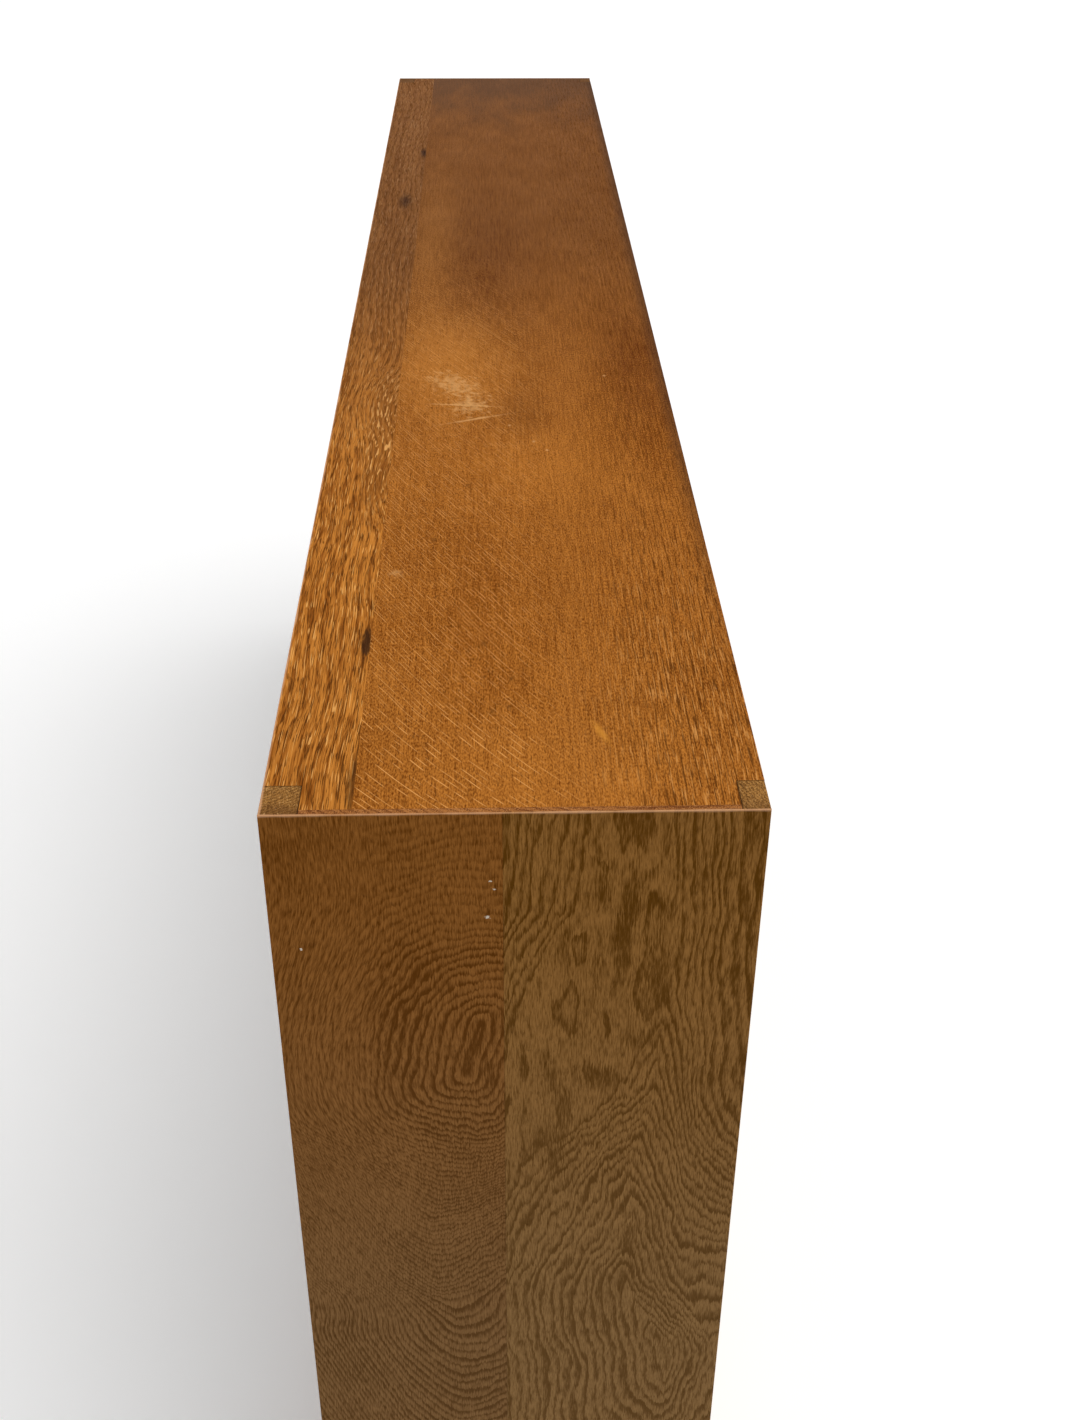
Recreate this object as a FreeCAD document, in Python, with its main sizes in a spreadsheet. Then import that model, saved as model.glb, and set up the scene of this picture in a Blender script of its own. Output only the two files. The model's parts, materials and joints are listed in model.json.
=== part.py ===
"""A long, low oak bookcase cabinet with two bays behind sliding glass doors.

Millimetres. X runs along the length, -Y is the front, +Z is up, and the origin is on
the floor under the middle of the case. The ends are lipped boards veneered on the
outside with two leaves. The top lies in a rebate in each end, so that a thin lap and
the end grain of the lippings show at its corners. The solid rails along the front of
the top and the bottom carry the tracks of the doors.
"""
import FreeCAD, Part
import Sketcher

import os
import re

Vector = FreeCAD.Vector
Rotation = FreeCAD.Rotation

doc = FreeCAD.newDocument("bookcase_cabinet")


# Driving dimensions

SIZES = [
    ("length", 1830, "overall length, end to end"),
    ("depth", 280, "overall depth, front to back"),
    ("height", 915, "overall height"),
    ("end_thickness", 28, "end board with its outer veneer"),
    ("top_thickness", 25, "top board with its veneer, and the top rail"),
    ("bottom_thickness", 25, "bottom board and the bottom rail"),
    ("partition_thickness", 22, "upright between the two bays"),
    ("veneer", 1, "face veneer of the ends and the top"),
    ("lap", 5, "part of the end that covers the end of the top"),
    ("front_lipping", 22, "solid strip on the front edge of an upright"),
    ("back_lipping", 16, "solid strip on the back edge of an end"),
    ("front_leaf", 133, "width of the front leaf of the end's veneer"),
    ("rail_width", 51, "solid strip along the front of the top and the bottom"),
    ("housing_depth", 8, "depth of the housings for the bottom and the partition"),
    ("spline_thickness", 6, "loose tongue between a rail and its board"),
    ("spline_in_board", 10, "loose tongue behind the back of the rail"),
    ("spline_web", 7, "wood between the tracks and the loose tongue"),
    ("spline_cover", 2, "wood between the partition's housing and the loose tongue"),
    ("dowel_diameter", 8, "dowel between an end and the top"),
    ("dowel_in_top", 12, "length of the dowel in the top"),
    ("dowel_in_end", 24, "length of the dowel in the end"),
    ("dowel_inset", 14, "first dowel from the lipping or the end of the row"),
    ("back_thickness", 6, "back panel"),
    ("back_rebate", 9, "landing of the back panel on the case"),
    ("panel_gap", 0.5, "room round the back panels"),
    ("plinth_height", 76, "floor to the underside of the bottom"),
    ("plinth_thickness", 20, "plinth boards and centre bearer"),
    ("plinth_setback", 20, "front plinth behind the front of the case"),
    ("glue_block", 25, "leg of the corner blocks behind the plinth"),
    ("glue_block_length", 60, "length of the corner blocks"),
    ("track_setback", 14, "tracks behind the front of the case"),
    ("track_play", 1, "room for the glass in its groove"),
    ("track_wall", 2, "walls and web of a track"),
    ("top_track_height", 16, "depth of the upper tracks"),
    ("bottom_track_height", 8, "depth of the lower tracks"),
    ("glass_thickness", 6, "plate glass of the doors"),
    ("glass_arris", 0.8, "ground edge of the glass"),
    ("glass_overlap", 24, "overlap of the two doors of a bay"),
    ("glass_engagement", 7, "glass held in the upper track"),
    ("door_side_gap", 0.5, "closed door to the upright beside it"),
    ("pull_inset", 42, "middle of the finger pull to the door's edge"),
    ("pull_wheel", 80, "radius of the wheel that grinds the finger pull"),
    ("pull_rim", 10, "radius of the wheel's rounded rim"),
    ("pull_bite", 2.6, "depth of the finger pull"),
    ("rest_gap", 0.3, "room under a shelf or a door where it rests"),
    ("shelf_thickness", 19, "adjustable shelf"),
    ("shelf_lipping", 12, "solid strip on the front edge of a shelf"),
    ("shelf_clearance", 6, "front of a shelf behind the tracks"),
    ("shelf_side_gap", 2, "shelf to the upright beside it"),
    ("shelf_back_gap", 2, "shelf to the back panel"),
    ("lower_shelf_rise", 250, "inside of the bottom to the lower shelf"),
    ("upper_shelf_rise", 519, "inside of the bottom to the upper shelf"),
    ("stud_pitch", 25, "one row of stud holes to the next"),
    ("stud_inset", 38, "studs from the front and the back of a shelf"),
    ("stud_shank", 6.2, "diameter of a stud in its hole"),
    ("stud_shank_length", 8, "length of a stud in its hole"),
    ("stud_collar", 9.6, "diameter of the collar of a stud"),
    ("stud_collar_width", 1.2, "thickness of the collar of a stud"),
    ("stud_head", 7.2, "diameter of the pin that carries the shelf"),
    ("stud_head_length", 9, "length of the pin that carries the shelf"),
    ("stud_round", 1, "bevel at the tip of the pin"),
    ("hole_clearance", 0.1, "room round a stud, dowel or screw, on the radius"),
    ("screw_head", 7, "diameter of a countersunk head"),
    ("screw_shank", 3.5, "diameter of a screw"),
    ("screw_length", 19, "whole length of a screw"),
    ("screw_edge", 5, "screws from the edge of a back panel"),
    ("screw_corner", 25, "first screw up a side from the screws at the foot and the head"),
    ("screw_slot", 0.8, "width and depth of the slot in a screw"),
]

STUD_ROWS = (-2, -1, 0, 1, 2)
DOWELS_PER_END = 4
SCREWS_ALONG = 4
SCREWS_UP = 5

sheet = doc.addObject("Spreadsheet::Sheet", "sizes")
for row, (alias, value, meaning) in enumerate(SIZES, start=1):
    sheet.set(f"A{row}", meaning)
    sheet.set(f"B{row}", str(value))
    sheet.setAlias(f"B{row}", alias)
doc.recompute()


# Planes of the case, as sums of the sheet's names

FRONT = "-depth / 2"
BACK = "depth / 2"
INSIDE = "(length / 2 - end_thickness)"
HALF_PARTITION = "partition_thickness / 2"
END_CORE = "(length / 2 - veneer)"
TOP_END = "(length / 2 - lap)"
BOTTOM_END = f"({INSIDE} + housing_depth)"
LIPPING_BACK = f"({FRONT} + front_lipping)"
BACK_LIPPING_FRONT = f"({BACK} - back_lipping)"
RAIL_BACK = f"({FRONT} + rail_width)"
BACK_FACE = f"({BACK} - back_thickness)"
BOTTOM_TOP = "(plinth_height + bottom_thickness)"
TOP_UNDER = "(height - top_thickness)"
TRACK_FRONT = f"({FRONT} + track_setback)"
TRACK_GROOVE = "(glass_thickness + track_play)"
TRACK_WIDTH = f"(2 * {TRACK_GROOVE} + 3 * track_wall)"
TRACK_BACK = f"({TRACK_FRONT} + {TRACK_WIDTH})"
BAY_WIDTH = f"({INSIDE} - {HALF_PARTITION})"
DOOR_WIDTH = f"(({BAY_WIDTH} - 2 * door_side_gap + glass_overlap) / 2)"
DOOR_FOOT = f"({BOTTOM_TOP} - bottom_track_height + track_wall + rest_gap)"
DOOR_HEIGHT = f"({TOP_UNDER} + glass_engagement - {DOOR_FOOT})"
SHELF_FRONT = f"({TRACK_BACK} + shelf_clearance)"
SHELF_BACK = f"({BACK_FACE} - shelf_back_gap)"
STUD_COLUMNS = (f"({SHELF_FRONT} + stud_inset)", f"({SHELF_BACK} - stud_inset)")
SHELVES = {
    "lower": f"({BOTTOM_TOP} + lower_shelf_rise)",
    "upper": f"({BOTTOM_TOP} + upper_shelf_rise)",
}
SIDES = {"left": -1, "right": 1}


def formula(text):
    """The sum as an expression reads it, with each name led back to the sheet."""
    return re.sub(r"[a-z_]+", r"sizes.\g<0>", text)


def outward(side, near, far):
    """The low and the high plane of a span that is given from the middle outwards."""
    return (near, far) if side > 0 else (f"-({far})", f"-({near})")


def place(thing, x, y, z):
    """Binds the position of an object to the sheet."""
    for axis, text in zip("xyz", (x, y, z)):
        thing.setExpression(f"Placement.Base.{axis}", formula(text))


def block(name, x, y, z):
    """A box between a low and a high plane on each axis."""
    box = doc.addObject("Part::Box", name)
    for side, (low, high) in zip(("Length", "Width", "Height"), (x, y, z)):
        box.setExpression(side, formula(f"({high}) - ({low})"))
    place(box, x[0], y[0], z[0])
    return box


def rod(name, diameter, length, start, turn):
    """A cylinder from a start point; turn swings it from upright to its own direction."""
    cylinder = doc.addObject("Part::Cylinder", name)
    cylinder.setExpression("Radius", formula(f"({diameter}) / 2"))
    cylinder.setExpression("Height", formula(length))
    cylinder.Placement = FreeCAD.Placement(Vector(0, 0, 0), turn)
    place(cylinder, *start)
    return cylinder


def cut(name, blank, cutters):
    """The blank with the cutters taken out of it."""
    tool = cutters[0]
    if len(cutters) > 1:
        tool = doc.addObject("Part::MultiFuse", f"{name}_cutters")
        tool.Shapes = cutters
    made = doc.addObject("Part::Cut", name)
    made.Base = blank
    made.Tool = tool
    made.Refine = True
    return made


def group(name, members):
    """Loose solids of one kind as one sub-part."""
    made = doc.addObject("Part::Compound", name)
    made.Links = members
    return made


def outline(body, plane, points):
    """A closed polyline on a plane of the body; every corner is bound to the sheet."""
    sketch = body.newObject("Sketcher::SketchObject", f"{body.Name}_outline")
    support = next(p for p in body.Origin.OriginFeatures if p.Role == plane)
    sketch.AttachmentSupport = (support, [""])
    sketch.MapMode = "FlatFace"
    values = [[worth(text) for text in point] for point in points]
    corners = [Vector(x, y, 0) for x, y in values]
    last = len(corners) - 1
    for i, corner in enumerate(corners):
        sketch.addGeometry(Part.LineSegment(corner, corners[i + 1 if i < last else 0]))
    for i in range(len(corners)):
        sketch.addConstraint(Sketcher.Constraint("Coincident", i, 2, i + 1 if i < last else 0, 1))
    for i, point in enumerate(points):
        for kind, axis, text, value in zip(("DistanceX", "DistanceY"), (-2, -1), point, values[i]):
            if text == "0":
                sketch.addConstraint(Sketcher.Constraint("PointOnObject", i, 1, axis))
                continue
            bound = sketch.addConstraint(Sketcher.Constraint(kind, -1, 1, i, 1, value))
            sketch.setExpression(f"Constraints[{bound}]", formula(text))
    return sketch


def worth(text):
    """What a sum of the sheet's names comes to."""
    return float(sheet.evalExpression(formula(text)))


def turned(name, points):
    """A turned piece: the outline, in X and radius, swept about the X axis."""
    body = doc.addObject("PartDesign::Body", name)
    sketch = outline(body, "XZ_Plane", points)
    turning = body.newObject("PartDesign::Revolution", f"{name}_turning")
    turning.Profile = sketch
    turning.ReferenceAxis = (sketch, ["H_Axis"])
    turning.Angle = 360
    return body


def copy_at(name, master, turn, start):
    """One more of a turned piece, where it is used."""
    link = doc.addObject("App::Link", name)
    link.LinkedObject = master
    link.Placement = FreeCAD.Placement(Vector(0, 0, 0), turn)
    place(link, *start)
    return link


ALONG_X = Rotation(Vector(0, 1, 0), 90)
UPRIGHT = Rotation()
TURNED_ROUND = Rotation(Vector(0, 0, 1), 180)
FACING_FRONT = Rotation(Vector(0, 0, 1), -90)
parts = []


# Back recess and partition housing, cut into every board that they cross

back_recess = block(
    "back_recess",
    (f"-({INSIDE} + back_rebate)", f"{INSIDE} + back_rebate"),
    (BACK_FACE, BACK),
    (f"{BOTTOM_TOP} - back_rebate", f"{TOP_UNDER} + back_rebate"),
)
partition_board = block(
    "partition_board",
    (f"-{HALF_PARTITION}", HALF_PARTITION),
    (LIPPING_BACK, BACK_FACE),
    (f"{BOTTOM_TOP} - housing_depth", f"{TOP_UNDER} + housing_depth"),
)


# Stud holes: two columns on each upright, five rows at each shelf

STUD_HOLE = "stud_shank + 2 * hole_clearance"
STUD_HOLE_DEPTH = "stud_shank_length + 2 * hole_clearance"


def stud_height(level):
    """Middle of the studs that carry a shelf."""
    return f"({SHELVES[level]} - rest_gap - stud_head / 2)"


def stud_holes(name, wall, into):
    """The holes in one face; into is 1 where they run towards +X."""
    start = wall if into > 0 else f"({wall}) - ({STUD_HOLE_DEPTH})"
    holes = []
    for level in SHELVES:
        for row in STUD_ROWS:
            for column in STUD_COLUMNS:
                height = f"{stud_height(level)} + {row} * stud_pitch"
                number = len(holes) + 1
                at = (start, column, height)
                holes.append(rod(f"{name}_hole_{number}", STUD_HOLE, STUD_HOLE_DEPTH, at, ALONG_X))
    return holes


# Dowels between the ends and the top

DOWEL_HOLE = "dowel_diameter + 2 * hole_clearance"
DOWEL_LENGTH = "dowel_in_top + dowel_in_end"
DOWEL_FOOT = f"({TOP_UNDER} - dowel_in_end)"
DOWEL_ROW = f"({BACK_LIPPING_FRONT} - {LIPPING_BACK} - 2 * dowel_inset)"


def dowel_place(side, number):
    """Foot of one dowel, in the middle of the top's seat on the end."""
    x = f"{side} * ({INSIDE} + {TOP_END}) / 2"
    y = f"{LIPPING_BACK} + dowel_inset + {number} * {DOWEL_ROW} / {DOWELS_PER_END - 1}"
    return x, y, DOWEL_FOOT


def dowel_rods(name, side, diameter):
    """One row of dowels, or of the holes for them."""
    return [
        rod(f"{name}_{number}", diameter, DOWEL_LENGTH, dowel_place(side, number), UPRIGHT)
        for number in range(DOWELS_PER_END)
    ]


dowel_holes = {side: dowel_rods(f"dowel_hole_{name}", side, DOWEL_HOLE) for name, side in SIDES.items()}
all_dowel_holes = dowel_holes[-1] + dowel_holes[1]
parts.append(group("top_dowels", [
    dowel
    for name, side in SIDES.items()
    for dowel in dowel_rods(f"top_dowel_{name}", side, "dowel_diameter")
]))


# Screws of the back panels, and the bores for them in every board that they reach

PANEL_FOOT = f"({BOTTOM_TOP} - back_rebate + panel_gap)"
PANEL_HEAD = f"({TOP_UNDER} + back_rebate - panel_gap)"
PANEL_NEAR = "(panel_gap / 2)"
PANEL_FAR = f"({INSIDE} + back_rebate - panel_gap)"
HEAD_DEPTH = "((screw_head - screw_shank) / 2)"

screw_blank = turned("screw_blank", [
    ("0", "0"),
    ("0", "screw_head / 2"),
    (HEAD_DEPTH, "screw_shank / 2"),
    ("screw_length - screw_shank", "screw_shank / 2"),
    ("screw_length", "0"),
])
slot = block(
    "screw_slot_cutter",
    ("0", "screw_slot"),
    ("-screw_slot / 2", "screw_slot / 2"),
    ("-screw_head", "screw_head"),
)
screw = cut("screw", screw_blank, [slot])
screw_hole = turned("screw_hole", [
    ("0", "0"),
    ("0", "screw_head / 2 + hole_clearance"),
    (HEAD_DEPTH, "screw_shank / 2 + hole_clearance"),
    ("screw_length + hole_clearance", "screw_shank / 2 + hole_clearance"),
    ("screw_length + hole_clearance", "0"),
])


def screw_places(side):
    """Where the screws of one back panel stand: rows at its head and foot, columns up its sides."""
    left, right = outward(side, f"{PANEL_NEAR} + screw_edge", f"{PANEL_FAR} - screw_edge")
    foot, head = f"({PANEL_FOOT} + screw_edge)", f"({PANEL_HEAD} - screw_edge)"
    places = []
    for number in range(1, SCREWS_ALONG):
        x = f"{left} + {number} * (({right}) - ({left})) / {SCREWS_ALONG}"
        places += [(x, BACK, foot), (x, BACK, head)]
    for number in range(SCREWS_UP):
        z = f"{foot} + screw_corner + {number} * ({head} - {foot} - 2 * screw_corner) / {SCREWS_UP - 1}"
        places += [(left, BACK, z), (right, BACK, z)]
    return places


def screws(name, master, side):
    return [
        copy_at(f"{name}_{number}", master, FACING_FRONT, at)
        for number, at in enumerate(screw_places(side), start=1)
    ]


screw_bores = {side: screws(f"{name}_screw_bore", screw_hole, side) for name, side in SIDES.items()}
all_screw_bores = screw_bores[-1] + screw_bores[1]


# Ends: core board, lippings front and back, and two leaves of veneer outside

FULL_HEIGHT = ("0", "height")


def end(name, side):
    thickness = outward(side, INSIDE, END_CORE)
    between_lippings = (LIPPING_BACK, BACK_LIPPING_FRONT)
    core = block(f"{name}_end_blank", thickness, between_lippings, FULL_HEIGHT)
    top_seat = block(
        f"{name}_top_seat", outward(side, INSIDE, TOP_END), between_lippings, (TOP_UNDER, "height")
    )
    bottom_housing = block(
        f"{name}_bottom_housing",
        outward(side, INSIDE, BOTTOM_END),
        between_lippings,
        ("plinth_height", BOTTOM_TOP),
    )
    bores = [*stud_holes(f"{name}_end", f"{side} * {INSIDE}", side), *dowel_holes[side], *screw_bores[side]]
    panel = cut(f"{name}_end_panel", core, [top_seat, bottom_housing, *bores])
    front = block(f"{name}_end_front_lipping", thickness, (FRONT, LIPPING_BACK), FULL_HEIGHT)
    back_blank = block(f"{name}_back_lipping_blank", thickness, (BACK_LIPPING_FRONT, BACK), FULL_HEIGHT)
    back = cut(f"{name}_end_back_lipping", back_blank, [back_recess, *screw_bores[side]])
    seam = f"{FRONT} + front_leaf"
    leaves = [
        block(f"{name}_end_{leaf}_veneer", outward(side, END_CORE, "length / 2"), span, FULL_HEIGHT)
        for leaf, span in (("front", (FRONT, seam)), ("back", (seam, BACK)))
    ]
    return [panel, front, back, *leaves]


for side_name, side_sign in SIDES.items():
    parts.extend(end(side_name, side_sign))


# Tracks: a double channel for each bay, let into the rails above and below the doors

def track_seat(name, side, low, high):
    return block(name, outward(side, HALF_PARTITION, INSIDE), (TRACK_FRONT, TRACK_BACK), (low, high))


def groove_front(number):
    """Front face of a groove: number 0 is the front door's, 1 the rear door's."""
    return f"({TRACK_FRONT} + track_wall + {number} * ({TRACK_GROOVE} + track_wall))"


UPPER_TRACK = (TOP_UNDER, f"{TOP_UNDER} + top_track_height")
LOWER_TRACK = (f"{BOTTOM_TOP} - bottom_track_height", BOTTOM_TOP)
UPPER_GROOVE = (TOP_UNDER, f"{TOP_UNDER} + top_track_height - track_wall")
LOWER_GROOVE = (f"{BOTTOM_TOP} - bottom_track_height + track_wall", BOTTOM_TOP)


def track(name, side, body_span, groove_span):
    blank = track_seat(f"{name}_blank", side, *body_span)
    grooves = [
        block(
            f"{name}_groove_{number}",
            outward(side, HALF_PARTITION, INSIDE),
            (groove_front(number), f"{groove_front(number)} + {TRACK_GROOVE}"),
            groove_span,
        )
        for number in (0, 1)
    ]
    return cut(name, blank, grooves)


for side_name, side_sign in SIDES.items():
    parts.append(track(f"{side_name}_top_track", side_sign, UPPER_TRACK, UPPER_GROOVE))
    parts.append(track(f"{side_name}_bottom_track", side_sign, LOWER_TRACK, LOWER_GROOVE))


# Top and bottom: a board behind a solid rail, joined by a loose tongue

def both_ways(reach):
    return f"-({reach})", reach


def corner_notches(name, reach, y, z):
    """Cuts that let a board's corners pass the lippings of the ends."""
    return [
        block(f"{name}_{side_name}", outward(side, INSIDE, reach), y, z)
        for side_name, side in SIDES.items()
    ]


def spline(name, foot):
    y = (f"{TRACK_BACK} + spline_web", f"{RAIL_BACK} + spline_in_board")
    return block(name, both_ways(INSIDE), y, (foot, f"{foot} + spline_thickness"))


FRONT_CORNER = (FRONT, LIPPING_BACK)
BACK_CORNER = (BACK_LIPPING_FRONT, BACK)
TOP_SPAN = (TOP_UNDER, "height")
TOP_BOARD_SPAN = (TOP_UNDER, "height - veneer")
TOP_VENEER_SPAN = ("height - veneer", "height")
BOTTOM_SPAN = ("plinth_height", BOTTOM_TOP)

top_spline = spline("top_spline", f"({TOP_UNDER} + housing_depth + spline_cover)")
bottom_spline = spline("bottom_spline", f"({BOTTOM_TOP} - housing_depth - spline_cover - spline_thickness)")

top_blank = block("top_panel_blank", both_ways(TOP_END), (RAIL_BACK, BACK), TOP_BOARD_SPAN)
top_notches = corner_notches("top_notch", TOP_END, BACK_CORNER, TOP_SPAN)
shared_cuts = [back_recess, partition_board, *all_screw_bores]
top_panel = cut("top_panel", top_blank, [*top_notches, *shared_cuts, top_spline, *all_dowel_holes])
veneer_blank = block("top_veneer_blank", both_ways(TOP_END), (RAIL_BACK, BACK), TOP_VENEER_SPAN)
top_veneer = cut("top_veneer", veneer_blank, top_notches)

top_rail_blank = block("top_rail_blank", both_ways(TOP_END), (FRONT, RAIL_BACK), TOP_SPAN)
top_rail_cuts = corner_notches("top_rail_notch", TOP_END, FRONT_CORNER, TOP_SPAN)
top_rail_cuts += [
    track_seat(f"top_rail_{name}_seat", side, *UPPER_TRACK) for name, side in SIDES.items()
]
top_rail = cut(
    "top_front_rail", top_rail_blank, [*top_rail_cuts, partition_board, top_spline, *all_dowel_holes]
)

bottom_blank = block("bottom_panel_blank", both_ways(BOTTOM_END), (RAIL_BACK, BACK), BOTTOM_SPAN)
bottom_notches = corner_notches("bottom_notch", BOTTOM_END, BACK_CORNER, BOTTOM_SPAN)
bottom_panel = cut("bottom_panel", bottom_blank, [*bottom_notches, *shared_cuts, bottom_spline])

bottom_rail_blank = block("bottom_rail_blank", both_ways(BOTTOM_END), (FRONT, RAIL_BACK), BOTTOM_SPAN)
bottom_rail_cuts = corner_notches("bottom_rail_notch", BOTTOM_END, FRONT_CORNER, BOTTOM_SPAN)
bottom_rail_cuts += [
    track_seat(f"bottom_rail_{name}_seat", side, *LOWER_TRACK) for name, side in SIDES.items()
]
bottom_rail = cut(
    "bottom_front_rail", bottom_rail_blank, [*bottom_rail_cuts, partition_board, bottom_spline]
)

parts += [top_panel, top_veneer, top_rail, top_spline, bottom_panel, bottom_rail, bottom_spline]


# Partition between the bays

partition_holes = stud_holes("partition_right", HALF_PARTITION, -1) + stud_holes(
    "partition_left", f"-{HALF_PARTITION}", 1
)
parts.append(cut("partition_panel", partition_board, [*partition_holes, *all_screw_bores]))
parts.append(block(
    "partition_lipping",
    (f"-{HALF_PARTITION}", HALF_PARTITION),
    (FRONT, LIPPING_BACK),
    (BOTTOM_TOP, TOP_UNDER),
))


# Plinth: boards front and back, a bearer under the partition, and corner blocks

PLINTH_FRONT = f"({FRONT} + plinth_setback)"
PLINTH_INNER = f"({PLINTH_FRONT} + plinth_thickness)"
BACK_PLINTH_INNER = f"({BACK} - plinth_thickness)"
PLINTH_SPAN = ("0", "plinth_height")

parts.append(block("front_plinth", both_ways(INSIDE), (PLINTH_FRONT, PLINTH_INNER), PLINTH_SPAN))
parts.append(block("back_plinth", both_ways(INSIDE), (BACK_PLINTH_INNER, BACK), PLINTH_SPAN))
parts.append(block(
    "centre_bearer",
    ("-plinth_thickness / 2", "plinth_thickness / 2"),
    (PLINTH_INNER, BACK_PLINTH_INNER),
    PLINTH_SPAN,
))


def glue_block(name, degrees, x, y):
    """A three-cornered block glued up under the bottom, into a corner of the plinth."""
    wedge = doc.addObject("Part::Wedge", name)
    for low in ("Xmin", "Ymin", "Zmin", "X2min", "X2max", "Z2min"):
        setattr(wedge, low, 0)
    wedge.setExpression("Xmax", formula("glue_block"))
    wedge.setExpression("Ymax", formula("glue_block"))
    wedge.setExpression("Zmax", formula("glue_block_length"))
    wedge.setExpression("Z2max", formula("glue_block_length"))
    wedge.Placement = FreeCAD.Placement(Vector(0, 0, 0), Rotation(Vector(0, 0, 1), degrees))
    place(wedge, x, y, "plinth_height - glue_block_length")
    return wedge


BEARER_SIDE = "plinth_thickness / 2"
parts.append(group("glue_blocks", [
    glue_block("glue_block_front_left", 0, f"-{INSIDE}", PLINTH_INNER),
    glue_block("glue_block_front_right", 90, INSIDE, PLINTH_INNER),
    glue_block("glue_block_back_right", 180, INSIDE, BACK_PLINTH_INNER),
    glue_block("glue_block_back_left", 270, f"-{INSIDE}", BACK_PLINTH_INNER),
    glue_block("glue_block_middle_front_right", 0, BEARER_SIDE, PLINTH_INNER),
    glue_block("glue_block_middle_front_left", 90, f"-{BEARER_SIDE}", PLINTH_INNER),
    glue_block("glue_block_middle_back_left", 180, f"-{BEARER_SIDE}", BACK_PLINTH_INNER),
    glue_block("glue_block_middle_back_right", 270, BEARER_SIDE, BACK_PLINTH_INNER),
]))


# Back panels: one behind each bay, screwed round the edge into the case

for side_name, side_sign in SIDES.items():
    panel_blank = block(
        f"{side_name}_back_blank",
        outward(side_sign, PANEL_NEAR, PANEL_FAR),
        (BACK_FACE, BACK),
        (PANEL_FOOT, PANEL_HEAD),
    )
    parts.append(cut(f"{side_name}_back_panel", panel_blank, screw_bores[side_sign]))
    parts.append(group(f"{side_name}_back_screws", screws(f"{side_name}_screw", screw, side_sign)))


# Sliding doors: plate glass with ground edges and a finger pull ground into the front

def door(name, side, groove, leans):
    """leans is 1 where the closed door stands against the upright on its right."""
    near, far = outward(side, HALF_PARTITION, INSIDE)
    foot_x = f"{near} + door_side_gap" if leans < 0 else f"{far} - door_side_gap - {DOOR_WIDTH}"
    face = f"({groove_front(groove)} + track_play / 2)"
    body = doc.addObject("PartDesign::Body", f"{name}_blank")
    sketch = outline(body, "XZ_Plane", [
        ("0", "0"),
        (DOOR_WIDTH, "0"),
        (DOOR_WIDTH, DOOR_HEIGHT),
        ("0", DOOR_HEIGHT),
    ])
    pane = body.newObject("PartDesign::Pad", f"{name}_pane")
    pane.Profile = sketch
    pane.Reversed = True
    pane.setExpression("Length", formula("glass_thickness"))
    doc.recompute()
    edges = body.newObject("PartDesign::Chamfer", f"{name}_arris")
    edges.Base = (pane, [f"Edge{number + 1}" for number in range(len(pane.Shape.Edges))])
    edges.setExpression("Size", formula("glass_arris"))
    place(body, foot_x, face, DOOR_FOOT)
    wheel = doc.addObject("Part::Torus", f"{name}_pull_wheel")
    wheel.setExpression("Radius1", formula("pull_wheel - pull_rim"))
    wheel.setExpression("Radius2", formula("pull_rim"))
    wheel.Placement = FreeCAD.Placement(Vector(0, 0, 0), ALONG_X)
    pull_x = f"{foot_x} + pull_inset" if leans < 0 else f"{foot_x} + {DOOR_WIDTH} - pull_inset"
    place(wheel, pull_x, f"{face} - pull_wheel + pull_bite", f"{DOOR_FOOT} + {DOOR_HEIGHT} / 2")
    return cut(name, body, [wheel])


for side_name, side_sign in SIDES.items():
    parts.append(door(f"{side_name}_front_door", side_sign, 0, -side_sign))
    parts.append(door(f"{side_name}_rear_door", side_sign, 1, side_sign))


# Shelves: a lipped board on four brass studs

stud = turned("stud", [
    ("0", "0"),
    ("0", "stud_head / 2 - stud_round"),
    ("stud_round", "stud_head / 2"),
    ("stud_head_length", "stud_head / 2"),
    ("stud_head_length", "stud_collar / 2"),
    ("stud_head_length + stud_collar_width", "stud_collar / 2"),
    ("stud_head_length + stud_collar_width", "stud_shank / 2"),
    ("stud_head_length + stud_collar_width + stud_shank_length", "stud_shank / 2"),
    ("stud_head_length + stud_collar_width + stud_shank_length", "0"),
])
STUD_REACH = "(stud_head_length + stud_collar_width)"


def shelf(side_name, side, level):
    name = f"{side_name}_{level}_shelf"
    x = outward(side, f"{HALF_PARTITION} + shelf_side_gap", f"{INSIDE} - shelf_side_gap")
    z = (SHELVES[level], f"{SHELVES[level]} + shelf_thickness")
    board = block(name, x, (f"{SHELF_FRONT} + shelf_lipping", SHELF_BACK), z)
    lipping = block(f"{name}_lipping", x, (SHELF_FRONT, f"{SHELF_FRONT} + shelf_lipping"), z)
    low_wall, high_wall = outward(side, HALF_PARTITION, INSIDE)
    studs = []
    for number, column in enumerate(STUD_COLUMNS):
        at = (f"{low_wall} + {STUD_REACH}", column, stud_height(level))
        studs.append(copy_at(f"{name}_stud_low_{number}", stud, TURNED_ROUND, at))
        at = (f"{high_wall} - {STUD_REACH}", column, stud_height(level))
        studs.append(copy_at(f"{name}_stud_high_{number}", stud, UPRIGHT, at))
    return [board, lipping, group(f"{side_name}_{level}_studs", studs)]


for side_name, side_sign in SIDES.items():
    for level_name in SHELVES:
        parts.extend(shelf(side_name, side_sign, level_name))


# Build, test every object and write one file for each sub-part

doc.recompute()
for thing in doc.Objects:
    if "Invalid" in thing.State or "Error" in thing.State:
        raise RuntimeError(f"{thing.Label} failed: {thing.State}")
for part in parts:
    if part.Shape.isNull() or not part.Shape.isValid() or not part.Shape.Solids:
        raise RuntimeError(f"{part.Label} is not a sound solid")

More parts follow.
